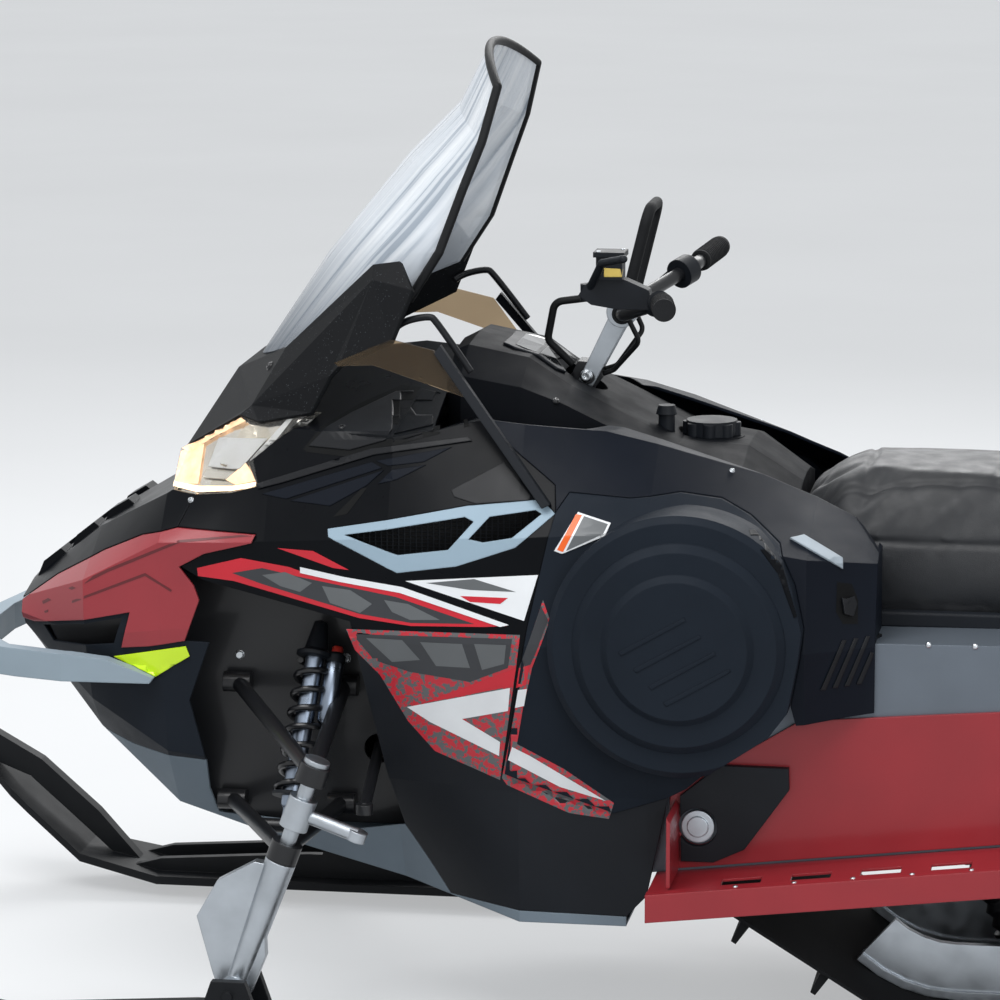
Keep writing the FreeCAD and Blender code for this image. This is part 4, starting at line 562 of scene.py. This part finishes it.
def turned(profile, place, axis, steps=24):
    """A closed profile of (radius, height) in millimetres, turned about an axis."""
    mesh = bmesh.new()
    turn = Vector(axis).normalized().to_track_quat("Z", "Y").to_matrix()
    rings = []
    for radius, height in profile:
        spots = [Vector((0, 0, height / 1000))]
        if radius >= 0.01:
            angles = [2 * math.pi * k / steps for k in range(steps)]
            spots = [Vector((radius / 1000 * math.cos(angle), radius / 1000 * math.sin(angle), height / 1000))
                     for angle in angles]
        rings.append([mesh.verts.new(Vector(place) + turn @ spot) for spot in spots])
    for low, high in zip(rings, rings[1:]):
        for k in range(steps):
            after = k + 1
            corners = [low[k % len(low)], low[after % len(low)], high[after % len(high)], high[k % len(high)]]
            corners = list(dict.fromkeys(corners))
            if len(corners) > 2:
                mesh.faces.new(corners)
    bmesh.ops.recalc_face_normals(mesh, faces=mesh.faces[:])
    return mesh


def screw(name, x, y, nodes, radius, look="steel"):
    """A flanged screw head with a socket, where the picture shows it, and its mirror image."""
    ray = pixel_ray(x, y)
    place, lean, _, _ = surface_of(nodes).ray_cast(EYE, ray)
    profile = [(1.0, -2.0), (1.0, 0.8), (0.93, 1.4), (0.74, 1.6), (0.68, 3.4), (0.6, 3.9), (0.36, 3.9),
               (0.33, 1.2), (0.0, 1.0)]
    profile = [(share * radius, height) for share, height in profile]
    smooth_pair(name, turned(profile, place, lean if lean.dot(ray) < 0 else -lean), look)


def heads(name, spots, direction, nodes, profile):
    """Rivet or bolt heads where lines along a direction meet some nodes; the spots are in millimetres."""
    tree = surface_of(nodes)
    direction = Vector(direction)
    parts = []
    for spot in spots:
        hit, lean, _, _ = tree.ray_cast(Vector(spot) / 1000, direction)
        if hit is not None:
            parts.append(turned(profile, hit, lean if lean.dot(direction) < 0 else -lean, 12))
    smooth_pair(name, joined(parts), "steel")


# Side graphics, in plain angular shapes: name, look, lift in millimetres and outline
SIDE = "side_panels lower_sides drive_covers nose_fenders tank_panels"
UPPER_BAND = [
    ("band_field", "print_red", 0.8,
     [(197, 568), (241, 558), (289, 567), (300, 571), (401, 590), (507, 626), (485, 627), (411, 626),
      (359, 618), (234, 581), (198, 576)]),
    ("band_dark", "print_dark", 1.1,
     [(232, 573), (262, 568), (300, 577), (396, 597), (474, 624), (411, 623), (360, 614), (262, 584)]),
    ("band_shape_a", "print_grey", 1.4, [(262, 575), (285, 572), (312, 583), (300, 592), (280, 586)]),
    ("band_shape_b", "print_grey", 1.4, [(322, 586), (350, 590), (372, 604), (360, 613), (330, 603)]),
    ("band_shape_c", "print_grey", 1.4, [(384, 600), (408, 604), (440, 620), (410, 620), (392, 612)]),
    ("band_line", "print_white", 1.5,
     [(300, 567), (344, 577), (402, 587), (509, 625), (500, 627), (400, 593), (340, 582), (300, 573)]),
    ("band_wedge", "print_red", 0.9, [(277, 548), (313, 551), (349, 570), (333, 568)]),
    ("blank_panel", "print_white", 0.9, [(405, 581), (538, 575), (524, 621)]),
    ("blank_panel_mark", "print_grey", 1.2, [(426, 583), (474, 579), (516, 592), (470, 590)]),
    ("blank_panel_line", "print_red", 1.2, [(460, 596), (508, 598), (500, 604), (470, 602)]),
]
LOWER_FIELD = [
    ("lower_field", "spatter", 0.8,
     [(346, 629), (520, 635), (516, 668), (510, 710), (500, 780), (435, 751), (408, 721), (380, 675),
      (355, 650)]),
    ("lower_dark", "print_dark", 1.1,
     [(352, 634), (512, 639), (508, 668), (470, 682), (410, 672), (374, 660)]),
    ("lower_shape_a", "print_grey", 1.4, [(366, 638), (402, 640), (420, 660), (392, 662)]),
    ("lower_shape_b", "print_grey", 1.4, [(420, 642), (462, 644), (470, 668), (436, 666)]),
    ("lower_shape_c", "print_grey", 1.4, [(474, 644), (506, 645), (504, 664), (482, 670)]),
    ("lower_rear", "spatter", 0.8,
     [(543, 600), (550, 620), (539, 650), (532, 668), (527, 691), (523, 708), (517, 744), (564, 769),
      (614, 803), (609, 819), (569, 813), (507, 785), (502, 778), (515, 710), (530, 638)]),
    ("lower_rear_dark", "print_dark", 1.1,
     [(541, 606), (548, 620), (537, 650), (529, 668), (519, 668), (530, 638)]),
    ("arrow", "print_white", 1.5,
     [(407, 707), (510, 688), (508, 711), (462, 719), (500, 742), (499, 756), (430, 722)]),
    ("arrow_rear", "print_white", 1.5, [(518, 690), (527, 689), (524, 706), (515, 708)]),
    ("arrow_tail", "print_white", 1.5, [(512, 747), (530, 756), (606, 801), (560, 787), (508, 760)]),
    ("lower_red", "print_red", 1.3, [(430, 700), (516, 668), (513, 686), (420, 704)]),
    ("lower_red_rear", "print_red", 1.3, [(519, 668), (530, 665), (526, 685), (516, 688)]),
]
for name, look, lift, outline in UPPER_BAND + LOWER_FIELD:
    on_surface(name, outline, SIDE, look, lift)

# Plates and panes, by rows as plates() reads them
plates(SIDE, [
    ("blank_label", "print_white", 1.4, 2.0, 0.4, 0.0,
     [(578, 512), (611, 523), (605, 536), (562, 554), (554, 551)]),
    ("blank_label_field", "print_grey", 2.3, 2.0, 0.0, 0.0, [(584, 516), (608, 524), (603, 534), (566, 551)]),
    ("blank_label_band", "orange", 2.3, 2.0, 0.0, 0.0, [(576, 514), (582, 515), (563, 552), (557, 550)]),
])
plates("lower_nose front_bumper nose_fenders", [
    ("side_reflector", "lime", 1.0, 7.0, 2.0, 0.8, [(114, 656), (186, 646), (190, 656), (155, 677)]),
])


# Front dampers with wound springs, in place of the plain sleeves; sizes in millimetres
FRONT_LOW, FRONT_HIGH = Vector((963.0, 345.0, 330.0)), Vector((932.0, 203.3, 630.0))
BARREL_R, COIL_R, WIRE_R, TURNS = 15.0, 28.0, 5.4, 7
PERCH_SHARE, CAP_SHARE = 0.16, 0.80
CHAMBER_UP, CHAMBER_BESIDE = 262, 33
STEPS_A_TURN, WIRE_STEPS = 28, 10


def wound_spring(low, axis, first, last):
    """A round wire wound between two heights above a point."""
    mesh = bmesh.new()
    turn = axis.to_track_quat("Z", "Y").to_matrix()
    steps = STEPS_A_TURN * TURNS
    rings = []
    for k in range(steps + 1):
        share = k / steps
        angle = 2 * math.pi * TURNS * share
        height = first + WIRE_R * 0.6 + (last - first - WIRE_R * 1.2) * share
        out = Vector((math.cos(angle), math.sin(angle), 0.0))
        centre = out * (COIL_R - WIRE_R + 1.5) + Vector((0, 0, height))
        ring = []
        for j in range(WIRE_STEPS):
            around = 2 * math.pi * j / WIRE_STEPS
            rise = Vector((0, 0, WIRE_R * math.sin(around)))
            spot = centre + out * WIRE_R * math.cos(around) + rise
            ring.append(mesh.verts.new((low + turn @ spot) / 1000))
        rings.append(ring)
    for a, b in zip(rings, rings[1:]):
        for j in range(WIRE_STEPS):
            after = (j + 1) % WIRE_STEPS
            mesh.faces.new([a[j], a[after], b[after], b[j]])
    mesh.faces.new(rings[0][::-1])
    mesh.faces.new(rings[-1])
    bmesh.ops.recalc_face_normals(mesh, faces=mesh.faces[:])
    return mesh


def front_dampers():
    """Body with its rod, spring perch, top cap and spring, then the chamber beside them."""
    low, high = FRONT_LOW, FRONT_HIGH
    axis = (high - low).normalized()
    length = (high - low).length
    first, last = PERCH_SHARE * length, CAP_SHARE * length
    r, coil = BARREL_R, COIL_R
    profiles = {
        "body": [(0.0, 8), (r * 0.62, 8), (r * 0.62, first * 0.5), (r * 0.9, first * 0.6), (r, first),
                 (r, last + 2), (r * 0.55, last + 3), (r * 0.55, length - 12), (0.0, length - 10)],
        "perch": [(r, first - 8), (coil + 2, first - 8), (coil + 2, first - 3), (coil - 4, first - 1),
                  (r, first)],
        "cap": [(r * 0.5, last + 1), (coil - 4, last + 1), (coil + 2, last + 3), (coil + 2, last + 9),
                (coil - 5, last + 12), (coil - 9, last + 15), (r * 0.7, length - 8), (0.0, length - 4)],
    }
    meshes = {part: turned(profile, low / 1000, axis, 32) for part, profile in profiles.items()}
    meshes["spring"] = wound_spring(low, axis, first, last)
    for part, look in (("body", "damper"), ("perch", "black"), ("cap", "black"), ("spring", "spring")):
        smooth_pair("front_damper_" + part, meshes[part], look)
    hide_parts("front_shocks")

    back = Vector((-1.0, 0.0, 0.0))
    beside = (back - axis * back.dot(axis)).normalized()
    start = (low + axis * CHAMBER_UP + beside * CHAMBER_BESIDE) / 1000
    chamber = [(0.0, -96), (10, -96), (14, -90), (14, -2), (12, 4), (0.0, 4)]
    neck = [(0.0, 2), (15, 2), (15, 14), (11, 18), (0.0, 18)]
    knob = [(0.0, 17), (9, 17), (9, 25), (7, 28), (0.0, 28)]
    smooth_pair("damper_chamber", turned(chamber, start, axis, 28), "damper")
    smooth_pair("damper_neck", turned(neck, start, axis, 28), "black")
    smooth_pair("damper_knob", turned(knob, start, axis, 20), "knob")


front_dampers()

# Inside the lamps: reflector, pale module and warm light guides under the lens
plates("headlights", [
    ("lamp_back", "lamp_chrome", -16.0, 6.0, 0.0, 0.0,
     [(181, 448), (241, 418), (291, 413), (273, 443), (249, 462), (258, 486), (231, 492), (173, 486)]),
    ("lamp_module", "lamp_white", -7.0, 6.0, 1.5, 0.0, [(220, 438), (268, 439), (240, 470), (209, 467)]),
    ("lamp_module_low", "lamp_chrome", -8.0, 6.0, 1.5, 0.0, [(207, 470), (238, 473), (231, 480), (203, 478)]),
    ("lamp_guide_top", "warm", -4.0, 5.0, 0.0, 0.0,
     [(182, 448), (212, 431), (240, 417), (246, 421), (214, 437), (190, 452)]),
    ("lamp_guide_side", "warm", -9.0, 5.0, 0.0, 0.0, [(181, 451), (205, 444), (199, 484), (174, 484)]),
    ("lamp_guide_low", "bulb", -3.0, 5.0, 0.0, 0.0,
     [(174, 481), (200, 486), (232, 486), (256, 482), (256, 487), (231, 491), (197, 492), (173, 486)]),
    ("lamp_guide_rear", "warm", -6.0, 5.0, 0.0, 0.0,
     [(226, 480), (246, 463), (252, 472), (256, 481), (236, 485)]),
    ("lamp_guide_edge", "lamp_white", -3.0, 5.0, 0.0, 0.0,
     [(250, 460), (292, 414), (296, 415), (274, 443), (252, 464)]),
])
screw("lamp_screw", 191, 500, "nose nose_fenders", 5.0)

# Fender creases as darker red strips of painted shade, the screen's foot fastener and the small frame between
# the cowl and the wing
plates("nose_fenders", [
    # painted shade: darker red strips along the creases
    ("fender_crease", "crease", 0.5, 12.0, 0.0, 0.0,
     [(42, 601), (107, 569), (179, 540), (252, 534), (252, 536), (180, 542.5), (108, 572), (43, 604)]),
    ("fender_crease_low", "crease", 0.5, 12.0, 0.0, 0.0,
     [(44, 611), (145, 573), (172, 590), (171, 592), (145, 576), (45, 613)]),
])
screw("screen_foot", 270, 366, "cowl windshield", 8.0, "spring")


BAR_RADIUS = 0.0055


def wing_frame():
    """A bent round bar on each side, through points of the picture at distances from the middle in metres."""
    spots = [(398, 326, 0.262), (404, 321, 0.268), (429, 316, 0.272), (436, 320, 0.274), (471, 372, 0.286)]
    for side, end in ((1, "_left"), (-1, "_right")):
        data = bpy.data.curves.new("wing_frame", "CURVE")
        data.dimensions = "3D"
        data.bevel_depth = BAR_RADIUS
        data.bevel_resolution = 3
        data.use_fill_caps = True
        spline = data.splines.new("NURBS")
        spline.points.add(len(spots) - 1)
        for point, (x, y, width) in zip(spline.points, spots):
            ray = pixel_ray(x, y)
            place = EYE + ray * ((width - EYE.y) / ray.y)
            point.co = (place.x, place.y * side, place.z, 1.0)
        spline.order_u = 3
        spline.use_endpoint_u = True
        dressed(bpy.data.objects.new("wing_frame" + end, data), "satin", "chassis")


wing_frame()


# Seat: a stuffed cover, its foot held; sizes in metres
VOXEL, SWELL, FOOT = 0.0095, 0.014, 0.03
PRESSURE, STIFFNESS, FRAMES = 4.0, 12.0, 20
SEAMS, SEAM_BEND, PIPING_Y, WAIST_SHARE = (0.085, -0.12, -0.47), 0.10, 0.125, 0.55
SEAM_DEPTH, PIPING_DEPTH, WAIST_DEPTH = 0.0055, 0.0045, 0.004
SEAM_HALF, PIPING_HALF, WAIST_HALF = 0.005, 0.004, 0.0045
WAVE_HEIGHT = 0.0012


def groove(off, half):
    """A soft groove's share of its depth, at a distance from its middle."""
    return math.exp(-(off / half) ** 2)


def evaluated(piece):
    """A piece's mesh with its modifiers applied."""
    graph = bpy.context.evaluated_depsgraph_get()
    return bpy.data.meshes.new_from_object(piece.evaluated_get(graph))


def seat_pad():
    """The seat's solid as cloth under pressure."""
    pad = bpy.data.objects.new("seat_pad", NODES["seat"].data.copy())
    bpy.context.scene.collection.objects.link(pad)
    pad.data.materials.clear()
    remesh = pad.modifiers.new("remesh", "REMESH")
    remesh.mode = "VOXEL"
    remesh.voxel_size = VOXEL
    relax = pad.modifiers.new("relax", "SMOOTH")
    relax.factor = 0.5
    relax.iterations = 10
    bpy.context.view_layer.update()
    shaped = evaluated(pad)
    pad.modifiers.clear()
    pad.data = shaped
    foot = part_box("seat")[0].z + FOOT
    before = [vert.co.copy() for vert in shaped.vertices]
    group = pad.vertex_groups.new(name="foot")
    group.add([v.index for v in shaped.vertices if v.co.z < foot], 1.0, "REPLACE")
    cloth = pad.modifiers.new("cloth", "CLOTH")
    cloth.settings.use_pressure = True
    cloth.settings.uniform_pressure_force = PRESSURE
    cloth.settings.vertex_group_mass = "foot"
    cloth.settings.effector_weights.gravity = 0.0
    cloth.settings.quality = 4
    cloth.settings.tension_stiffness = STIFFNESS
    cloth.settings.compression_stiffness = STIFFNESS
    cloth.collision_settings.use_collision = False
    cloth.point_cache.frame_start = 1
    cloth.point_cache.frame_end = FRAMES
    for number in range(1, FRAMES + 1):
        bpy.context.scene.frame_set(number)
    swollen = evaluated(pad)
    pad.modifiers.clear()
    for vert, old in zip(swollen.vertices, before):
        move = vert.co - old
        if move.length > SWELL:
            vert.co = old + move * (SWELL / move.length)
    pad.data = swollen
    bpy.context.scene.frame_set(1)
    return pad


def sewn(pad):
    """A finer mesh with seams pressed in, a piping line along the top edge and slight waves on the sides."""
    fine = pad.modifiers.new("fine", "SUBSURF")
    fine.levels = fine.render_levels = 1
    mesh = evaluated(pad)
    pad.modifiers.clear()
    pad.data = mesh
    low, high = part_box("seat")
    waist = low.z + WAIST_SHARE * (high.z - low.z)
    normals = [vert.normal.copy() for vert in mesh.vertices]
    for vert, normal in zip(mesh.vertices, normals):
        x, y, z = vert.co
        press = 0.0
        side = abs(normal.y)
        flat = max(0.0, 1.0 - 1.2 * side)
        for seam in SEAMS:
            press += SEAM_DEPTH * groove(x - seam - SEAM_BEND * abs(y), SEAM_HALF) * flat
        press += PIPING_DEPTH * groove(abs(y) - PIPING_Y, PIPING_HALF) * max(0.0, normal.z) ** 0.5
        press += WAIST_DEPTH * groove(z - waist, WAIST_HALF) * side
        if z > low.z + FOOT:
            vert.co -= normal * press
            vert.co += normal * WAVE_HEIGHT * math.sin(23.0 * x + 9.0 * z) * side
    mesh.update()
    return pad


pad = sewn(seat_pad())
pad.data.materials.append(looks["seat"].material)
smoothed(pad.data, 80.0)
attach(pad, "chassis")
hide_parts("seat")

# Hood side: pocket and slash as near-black sheets of painted shade, dark panes, ridge and patch
TOP_SIDE = "hood side_panels nose"
plates(TOP_SIDE, [
    # painted shade: a near-black sheet in the pocket, showing round its plate
    ("hood_pocket", "hollow", 0.5, 8.0, 0.0, 0.0,
     [(303, 449), (322, 426), (360, 403), (401, 385), (421, 387), (390, 436), (467, 419), (470, 426),
      (371, 451), (349, 457), (307, 452)]),
    ("hood_pocket_plate", "satin", 0.8, 8.0, 1.5, 0.7,
     [(309, 446), (326, 428), (352, 413), (396, 392), (414, 391), (386, 440), (350, 450)]),
    ("hood_pane", "gloss", 0.8, 8.0, 1.2, 0.5, [(422, 389), (440, 393), (462, 412), (466, 417), (394, 434)]),
    ("hood_ridge", "satin", 0.8, 8.0, 2.2, 1.0,
     [(256, 484), (276, 478), (371, 449), (468, 437), (472, 441), (374, 455), (282, 483), (258, 489)]),
    ("hood_pane_a", "tank", 0.5, 8.0, 0.7, 0.3, [(262, 494), (372, 462), (382, 468), (286, 499)]),
    ("hood_pane_b", "tank", 0.5, 8.0, 0.7, 0.3, [(376, 461), (452, 447), (424, 462), (388, 466)]),
    ("hood_pane_c", "tank", 0.5, 8.0, 0.7, 0.3, [(290, 501), (384, 470), (366, 486), (330, 506)]),
    ("hood_pane_d", "tank", 0.5, 8.0, 0.7, 0.3, [(392, 470), (426, 465), (396, 480), (378, 484)]),
    # painted shade: a near-black sheet along the slit
    ("hood_slash", "hollow", 0.6, 6.0, 0.0, 0.0, [(333, 517), (362, 488), (367, 488), (347, 514)]),
    ("hood_patch", "satin", 0.5, 8.0, 0.8, 0.4, [(451, 490), (504, 462), (534, 500), (476, 504), (454, 497)]),
])
screw("hood_screw", 342, 428, TOP_SIDE, 7.5, "spring")
screw("dash_screw", 556, 401, "console", 5.5, "spring")
screw("dash_screw_rear", 732, 471, "console tank_panels", 4.5)

# Handlebar: fluid window, lid screws, pivot bolts and rings on the grips; places in metres
BAR = "handlebar_body"
LID_SPOTS = ((0.463, 0.190), (0.497, 0.222))
PIVOT_X, PIVOT_Z = 0.541, 0.995
GRIP_END_Y, GRIP_RINGS = 0.368, 14
LID_SCREW = [(3.6, -1.0), (3.6, 0.8), (2.8, 1.6), (1.2, 1.6), (1.1, 0.4), (0.0, 0.4)]
PIVOT_BOLT = [(10.0, -3.0), (10.0, 1.0), (8.6, 1.2), (8.2, 5.0), (7.0, 6.2), (4.0, 6.2), (3.6, 2.2),
              (0.0, 2.0)]
GRIP_RING = [(15.5, -1.9), (18.1, -1.0), (18.1, 1.0), (15.5, 1.9)]
on_surface("reservoir_window", [(604, 268), (623, 269), (622, 277), (604, 277)], "bar_controls", "fluid",
           0.3, 20.0, 0.6, body=BAR)
lid = surface_of("bar_controls")
for letter, (x, y) in zip("ab", LID_SPOTS):
    hit = lid.ray_cast(Vector((x, y, 1.4)), Vector((0.0, 0.0, -1.0)))[0]
    smooth_piece("lid_screw_" + letter, turned(LID_SCREW, hit, (0, 0, 1), 16), "steel", BAR)
pivot = surface_of("riser_pivot")
for side, end in ((1, "left"), (-1, "right")):
    hit = pivot.ray_cast(Vector((PIVOT_X, 0.3 * side, PIVOT_Z)), Vector((0.0, -side, 0.0)))[0]
    if hit is not None:
        smooth_piece("pivot_bolt_" + end, turned(PIVOT_BOLT, hit, (0, side, 0), 24), "steel", BAR)


def middle(points):
    return sum(points, Vector()) / len(points)


def grip_rings():
    """Rings along the left grip, between its two ends."""
    left = [vert.co for vert in NODES["grips"].data.vertices if vert.co.y > 0]
    inner_y = min(p.y for p in left)
    inner = middle([p for p in left if p.y < inner_y + 0.008])
    along = middle([p for p in left if p.y > GRIP_END_Y]) - inner
    places = [inner + along * (0.08 + 0.84 * k / (GRIP_RINGS - 1)) for k in range(GRIP_RINGS)]
    return joined([turned(GRIP_RING, place, along, 28) for place in places])


smooth_pair("grip_ridges", grip_rings(), "grip", BAR)

# Drive cover and tank side: ribs, strips and latch
plates("drive_covers", [
    ("cover_rib_" + letter, "side_black", 0.2, 6.0, 1.0, 0.4,
     [(x, y), (x + 66, y - 34), (x + 68, y - 31), (x + 3, y + 4)])
    for letter, x, y in zip("abcd", range(618, 678, 15), range(652, 720, 17))
])
plates("drive_covers tank_panels", [
    ("bulge_strip", "gloss", 0.5, 5.0, 1.0, 0.4,
     [(749, 530), (755, 530), (782, 566), (797, 616), (794, 618), (778, 574), (751, 537)]),
])
plates("tank_panels seat", [
    ("grey_strip", "strip", 0.8, 6.0, 3.0, 1.2, [(790, 539), (804, 536), (842, 559), (842, 569)]),
])
plates("tank_panels", [
    # painted shade: a near-black sheet in the recess round the latch
    ("tank_recess", "hollow", 0.5, 5.0, 0.0, 0.0,
     [(837, 582), (852, 584), (858, 600), (858, 624), (843, 624), (836, 612)]),
    ("tank_latch", "satin", 1.0, 5.0, 5.0, 2.0, [(841, 600), (853, 596), (856, 604), (852, 617), (843, 614)]),
] + [
    ("tank_rib_" + letter, "satin", 0.2, 6.0, 2.0, 0.9,
     [(x, y), (x + 22, y - 50), (x + 26, y - 50), (x + 5, y)])
    for letter, x, y in zip("abcd", range(820, 868, 12), range(690, 682, -2))
])

# Rivets, bolts and pressed ribs, placed in millimetres
DOME = [(4.5, -1.5), (4.5, 0.4), (3.6, 1.5), (2.0, 2.1), (0.0, 2.3)]
BOLT_HEAD = [(8.0, -2.0), (8.0, 1.2), (6.6, 1.4), (6.2, 4.6), (5.2, 5.4), (0.0, 5.4)]
FORWARD, ACROSS, UPWARD = (1.0, 0.0, 0.0), (0.0, 1.0, 0.0), (0.0, 0.0, 1.0)
DOWN, INWARD = (0.0, 0.0, -1.0), (0.0, -1.0, 0.0)
OUTSIDE, RIB_PLACE = 600, (0.0, 1.0, 0.0)
heads("tunnel_rivets", [(-1420 + 70 * k, OUTSIDE, 644) for k in range(22)]
      + [(-1430, OUTSIDE, 360 + 60 * k) for k in range(4)], INWARD, "tunnel", DOME)
heads("board_rivets", [(-1330 + 88 * k, 455, 700) for k in range(19)], DOWN, "running_boards", DOME)
heads("guard_rivets", [(-395, OUTSIDE, 320), (-395, OUTSIDE, 400), (-395, OUTSIDE, 480), (-370, OUTSIDE, 535)]
      + [(x, OUTSIDE, 545) for x in (-250, -120, 10)], INWARD, "toe_guards", DOME)
heads("frame_bolts", [(1180, OUTSIDE, 520), (1070, OUTSIDE, 560), (900, OUTSIDE, 560)], INWARD,
      "front_frame", BOLT_HEAD)
heads("bumper_bolts", [(-1290, OUTSIDE, 580), (-1330, OUTSIDE, 580)], INWARD, "rear_bumper tunnel", BOLT_HEAD)
for letter, rear, front in (("a", -1370, -1010), ("b", -980, -620), ("c", -590, -440)):
    outline = [(rear, 588), (rear + 8, 582), (front - 8, 582), (front, 588), (front, 600), (front - 8, 606),
               (rear + 8, 606), (rear, 600)]
    rib = pressed(outline, RIB_PLACE, FORWARD, UPWARD, "tunnel", 0.0, 60.0)
    plated(pair("tunnel_rib_" + letter, rib, "tunnel"), 2.4, 1.0)


def seat_frame():
    """A moulded skirt round the seat's foot."""
    low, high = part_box("seat")
    beside, ahead, wall = 0.006, 0.004, 0.012
    wide = high.y + beside
    rear, front = low.x - beside, high.x + ahead
    loop = [(rear, wide), (front, wide), (front, -wide), (rear, -wide)]
    inner = [(x + (wall if x < 0 else -wall), y * 0.93) for x, y in loop]
    skirt = bmesh.new()
    rings = []
    for ring, height in ((inner, 0.001), (loop, 0.001), (loop, 0.024), (inner, 0.027)):
        rings.append([skirt.verts.new((x, y, low.z + height)) for x, y in ring])
    for a, b in zip(rings, rings[1:] + rings[:1]):
        for k in range(4):
            skirt.faces.new([a[k], a[(k + 1) % 4], b[(k + 1) % 4], b[k]])
    bmesh.ops.recalc_face_normals(skirt, faces=skirt.faces[:])
    edge = new_piece("seat_frame", skirt, "black").modifiers.new("edge", "BEVEL")
    edge.width, edge.segments = 0.003, 2


seat_frame()

# Dash display behind the screen, and its bezel: name, look, lift, thickness, rounding and outline
DASH_PLACE, DASH_UP = (0.20, 0.0, 1.30), (0.55, 0.0, 0.84)
for name, look, lift, thick, rounding, outline in (
    ("dash_bezel", "black", 0.0, 5.0, 2.0,
     [(-78, -34), (-62, -46), (62, -46), (78, -34), (78, 30), (62, 44), (-62, 44), (-78, 30)]),
    ("dash_display", "lens_black", 5.1, 0.8, 0.3,
     [(-66, -26), (-54, -36), (54, -36), (66, -26), (66, 22), (54, 34), (-54, 34), (-66, 22)]),
):
    sheet = pressed(outline, DASH_PLACE, ACROSS, DASH_UP, "console", lift, 200.0)
    plated([new_piece(name, sheet, look)], thick, rounding)


# Hub caps on the rollers, at the middle of each roller's outer face
HUB = [(0.0, -1.0), (17.0, -1.0), (17.0, 3.0), (14.0, 4.0), (13.0, 2.0), (9.0, 2.0), (8.5, 7.0),
       (6.5, 8.0), (0.0, 8.0)]


def islands(name):
    """The separate pieces of a node: each one's lowest and highest corner."""
    mesh = bmesh.new()
    mesh.from_mesh(NODES[name].data)
    bmesh.ops.remove_doubles(mesh, verts=mesh.verts[:], dist=0.00005)
    left = dict.fromkeys(mesh.verts)
    found = []
    while left:
        stack, group = [left.popitem()[0]], []
        while stack:
            vert = stack.pop()
            group.append(vert.co.copy())
            for edge in vert.link_edges:
                other = edge.other_vert(vert)
                if other in left:
                    left.pop(other)
                    stack.append(other)
        found.append([Vector([pick(p[i] for p in group) for i in range(3)]) for pick in (min, max)])
    mesh.free()
    return found


def hub_caps(name):
    tree = surface_of(name)
    caps = []
    for low, high in islands(name):
        centre = (low + high) / 2
        for side, face in ((-1, low.y), (1, high.y)):
            hit = tree.ray_cast(Vector((centre.x, side * 0.6, centre.z)), Vector((0.0, -side, 0.0)))[0]
            if hit is not None and abs(hit.y - face) <= 0.03:
                caps.append(turned(HUB, hit, (0.0, side, 0.0), 24))
    smooth_piece("hubs_" + name, joined(caps), "steel")


for name in ("rear_idlers", "carrier_wheels", "bogie_wheels"):
    hub_caps(name)

# Studio: pale floor and backdrop, seen brighter than they light, and three soft lamps
COOL = (0.93, 0.965, 1.0)
SKY_LIGHT, FLOOR_SHOWN, FLOOR_HALF = 0.62, 0.44, 30.0
FLOOR_BELOW = 0.0005


def seen_rays(tree):
    """1 for rays from the camera, a reflection or a clear sheet, else 0."""
    path = tree.nodes.new("ShaderNodeLightPath")
    value = path.outputs["Is Camera Ray"]
    for other in ("Is Glossy Ray", "Is Transmission Ray"):
        most = tree.nodes.new("ShaderNodeMath")
        most.operation = "MAXIMUM"
        tree.links.new(value, most.inputs[0])
        tree.links.new(path.outputs[other], most.inputs[1])
        value = most.outputs["Value"]
    return value


def studio_floor():
    look = Surface("floor", rough=0.9, specular=0.1, edge=0.0)
    look.colour(look.ramp(look.noise(0.7), [(0.3, (0.36, 0.365, 0.37)), (0.7, (0.39, 0.395, 0.40))]))
    shown = look.add("ShaderNodeMath", operation="MULTIPLY")
    look.link(seen_rays(look.tree), shown.inputs[0])
    shown.inputs[1].default_value = FLOOR_SHOWN
    look.set("Emission Color", (0.97, 0.985, 1.0, 1.0))
    look.link(shown.outputs["Value"], look.shader.inputs["Emission Strength"])
    mesh = bmesh.new()
    bmesh.ops.create_grid(mesh, x_segments=1, y_segments=1, size=FLOOR_HALF)
    data = bpy.data.meshes.new("floor")
    mesh.to_mesh(data)
    mesh.free()
    data.materials.append(look.material)
    floor = bpy.data.objects.new("floor", data)
    bpy.context.scene.collection.objects.link(floor)
    floor.location.z = -FLOOR_BELOW


def studio_world():
    world = bpy.data.worlds.new("studio")
    bpy.context.scene.world = world
    world.use_nodes = True
    sky = world.node_tree
    light = sky.nodes["Background"]
    light.inputs["Color"].default_value = (*COOL, 1.0)
    light.inputs["Strength"].default_value = SKY_LIGHT
    backdrop = sky.nodes.new("ShaderNodeBackground")
    backdrop.inputs["Color"].default_value = (0.86, 0.875, 0.89, 1.0)
    backdrop.inputs["Strength"].default_value = 1.0
    mixer = sky.nodes.new("ShaderNodeMixShader")
    sky.links.new(seen_rays(sky), mixer.inputs["Fac"])
    sky.links.new(light.outputs["Background"], mixer.inputs[1])
    sky.links.new(backdrop.outputs["Background"], mixer.inputs[2])
    sky.links.new(mixer.outputs["Shader"], sky.nodes["World Output"].inputs["Surface"])


def area_light(name, place, target, size, power, colour=(1.0, 1.0, 1.0)):
    data = bpy.data.lights.new(name, "AREA")
    data.shape = "RECTANGLE"
    data.size, data.size_y = size
    data.energy = power
    data.color = colour
    made = bpy.data.objects.new(name, data)
    bpy.context.scene.collection.objects.link(made)
    made.location = place
    made.rotation_euler = (Vector(target) - Vector(place)).to_track_quat("-Z", "Y").to_euler()


studio_floor()
studio_world()
area_light("key", (1.6, 2.6, 5.2), (0.3, 0.0, 0.6), (4.5, 3.0), 230.0)
area_light("fill", (-2.6, 5.6, 2.2), (0.2, 0.0, 0.6), (4.0, 2.4), 100.0, COOL)
area_light("rim", (0.2, -4.2, 3.6), (0.4, 0.0, 0.8), (4.0, 1.6), 140.0)
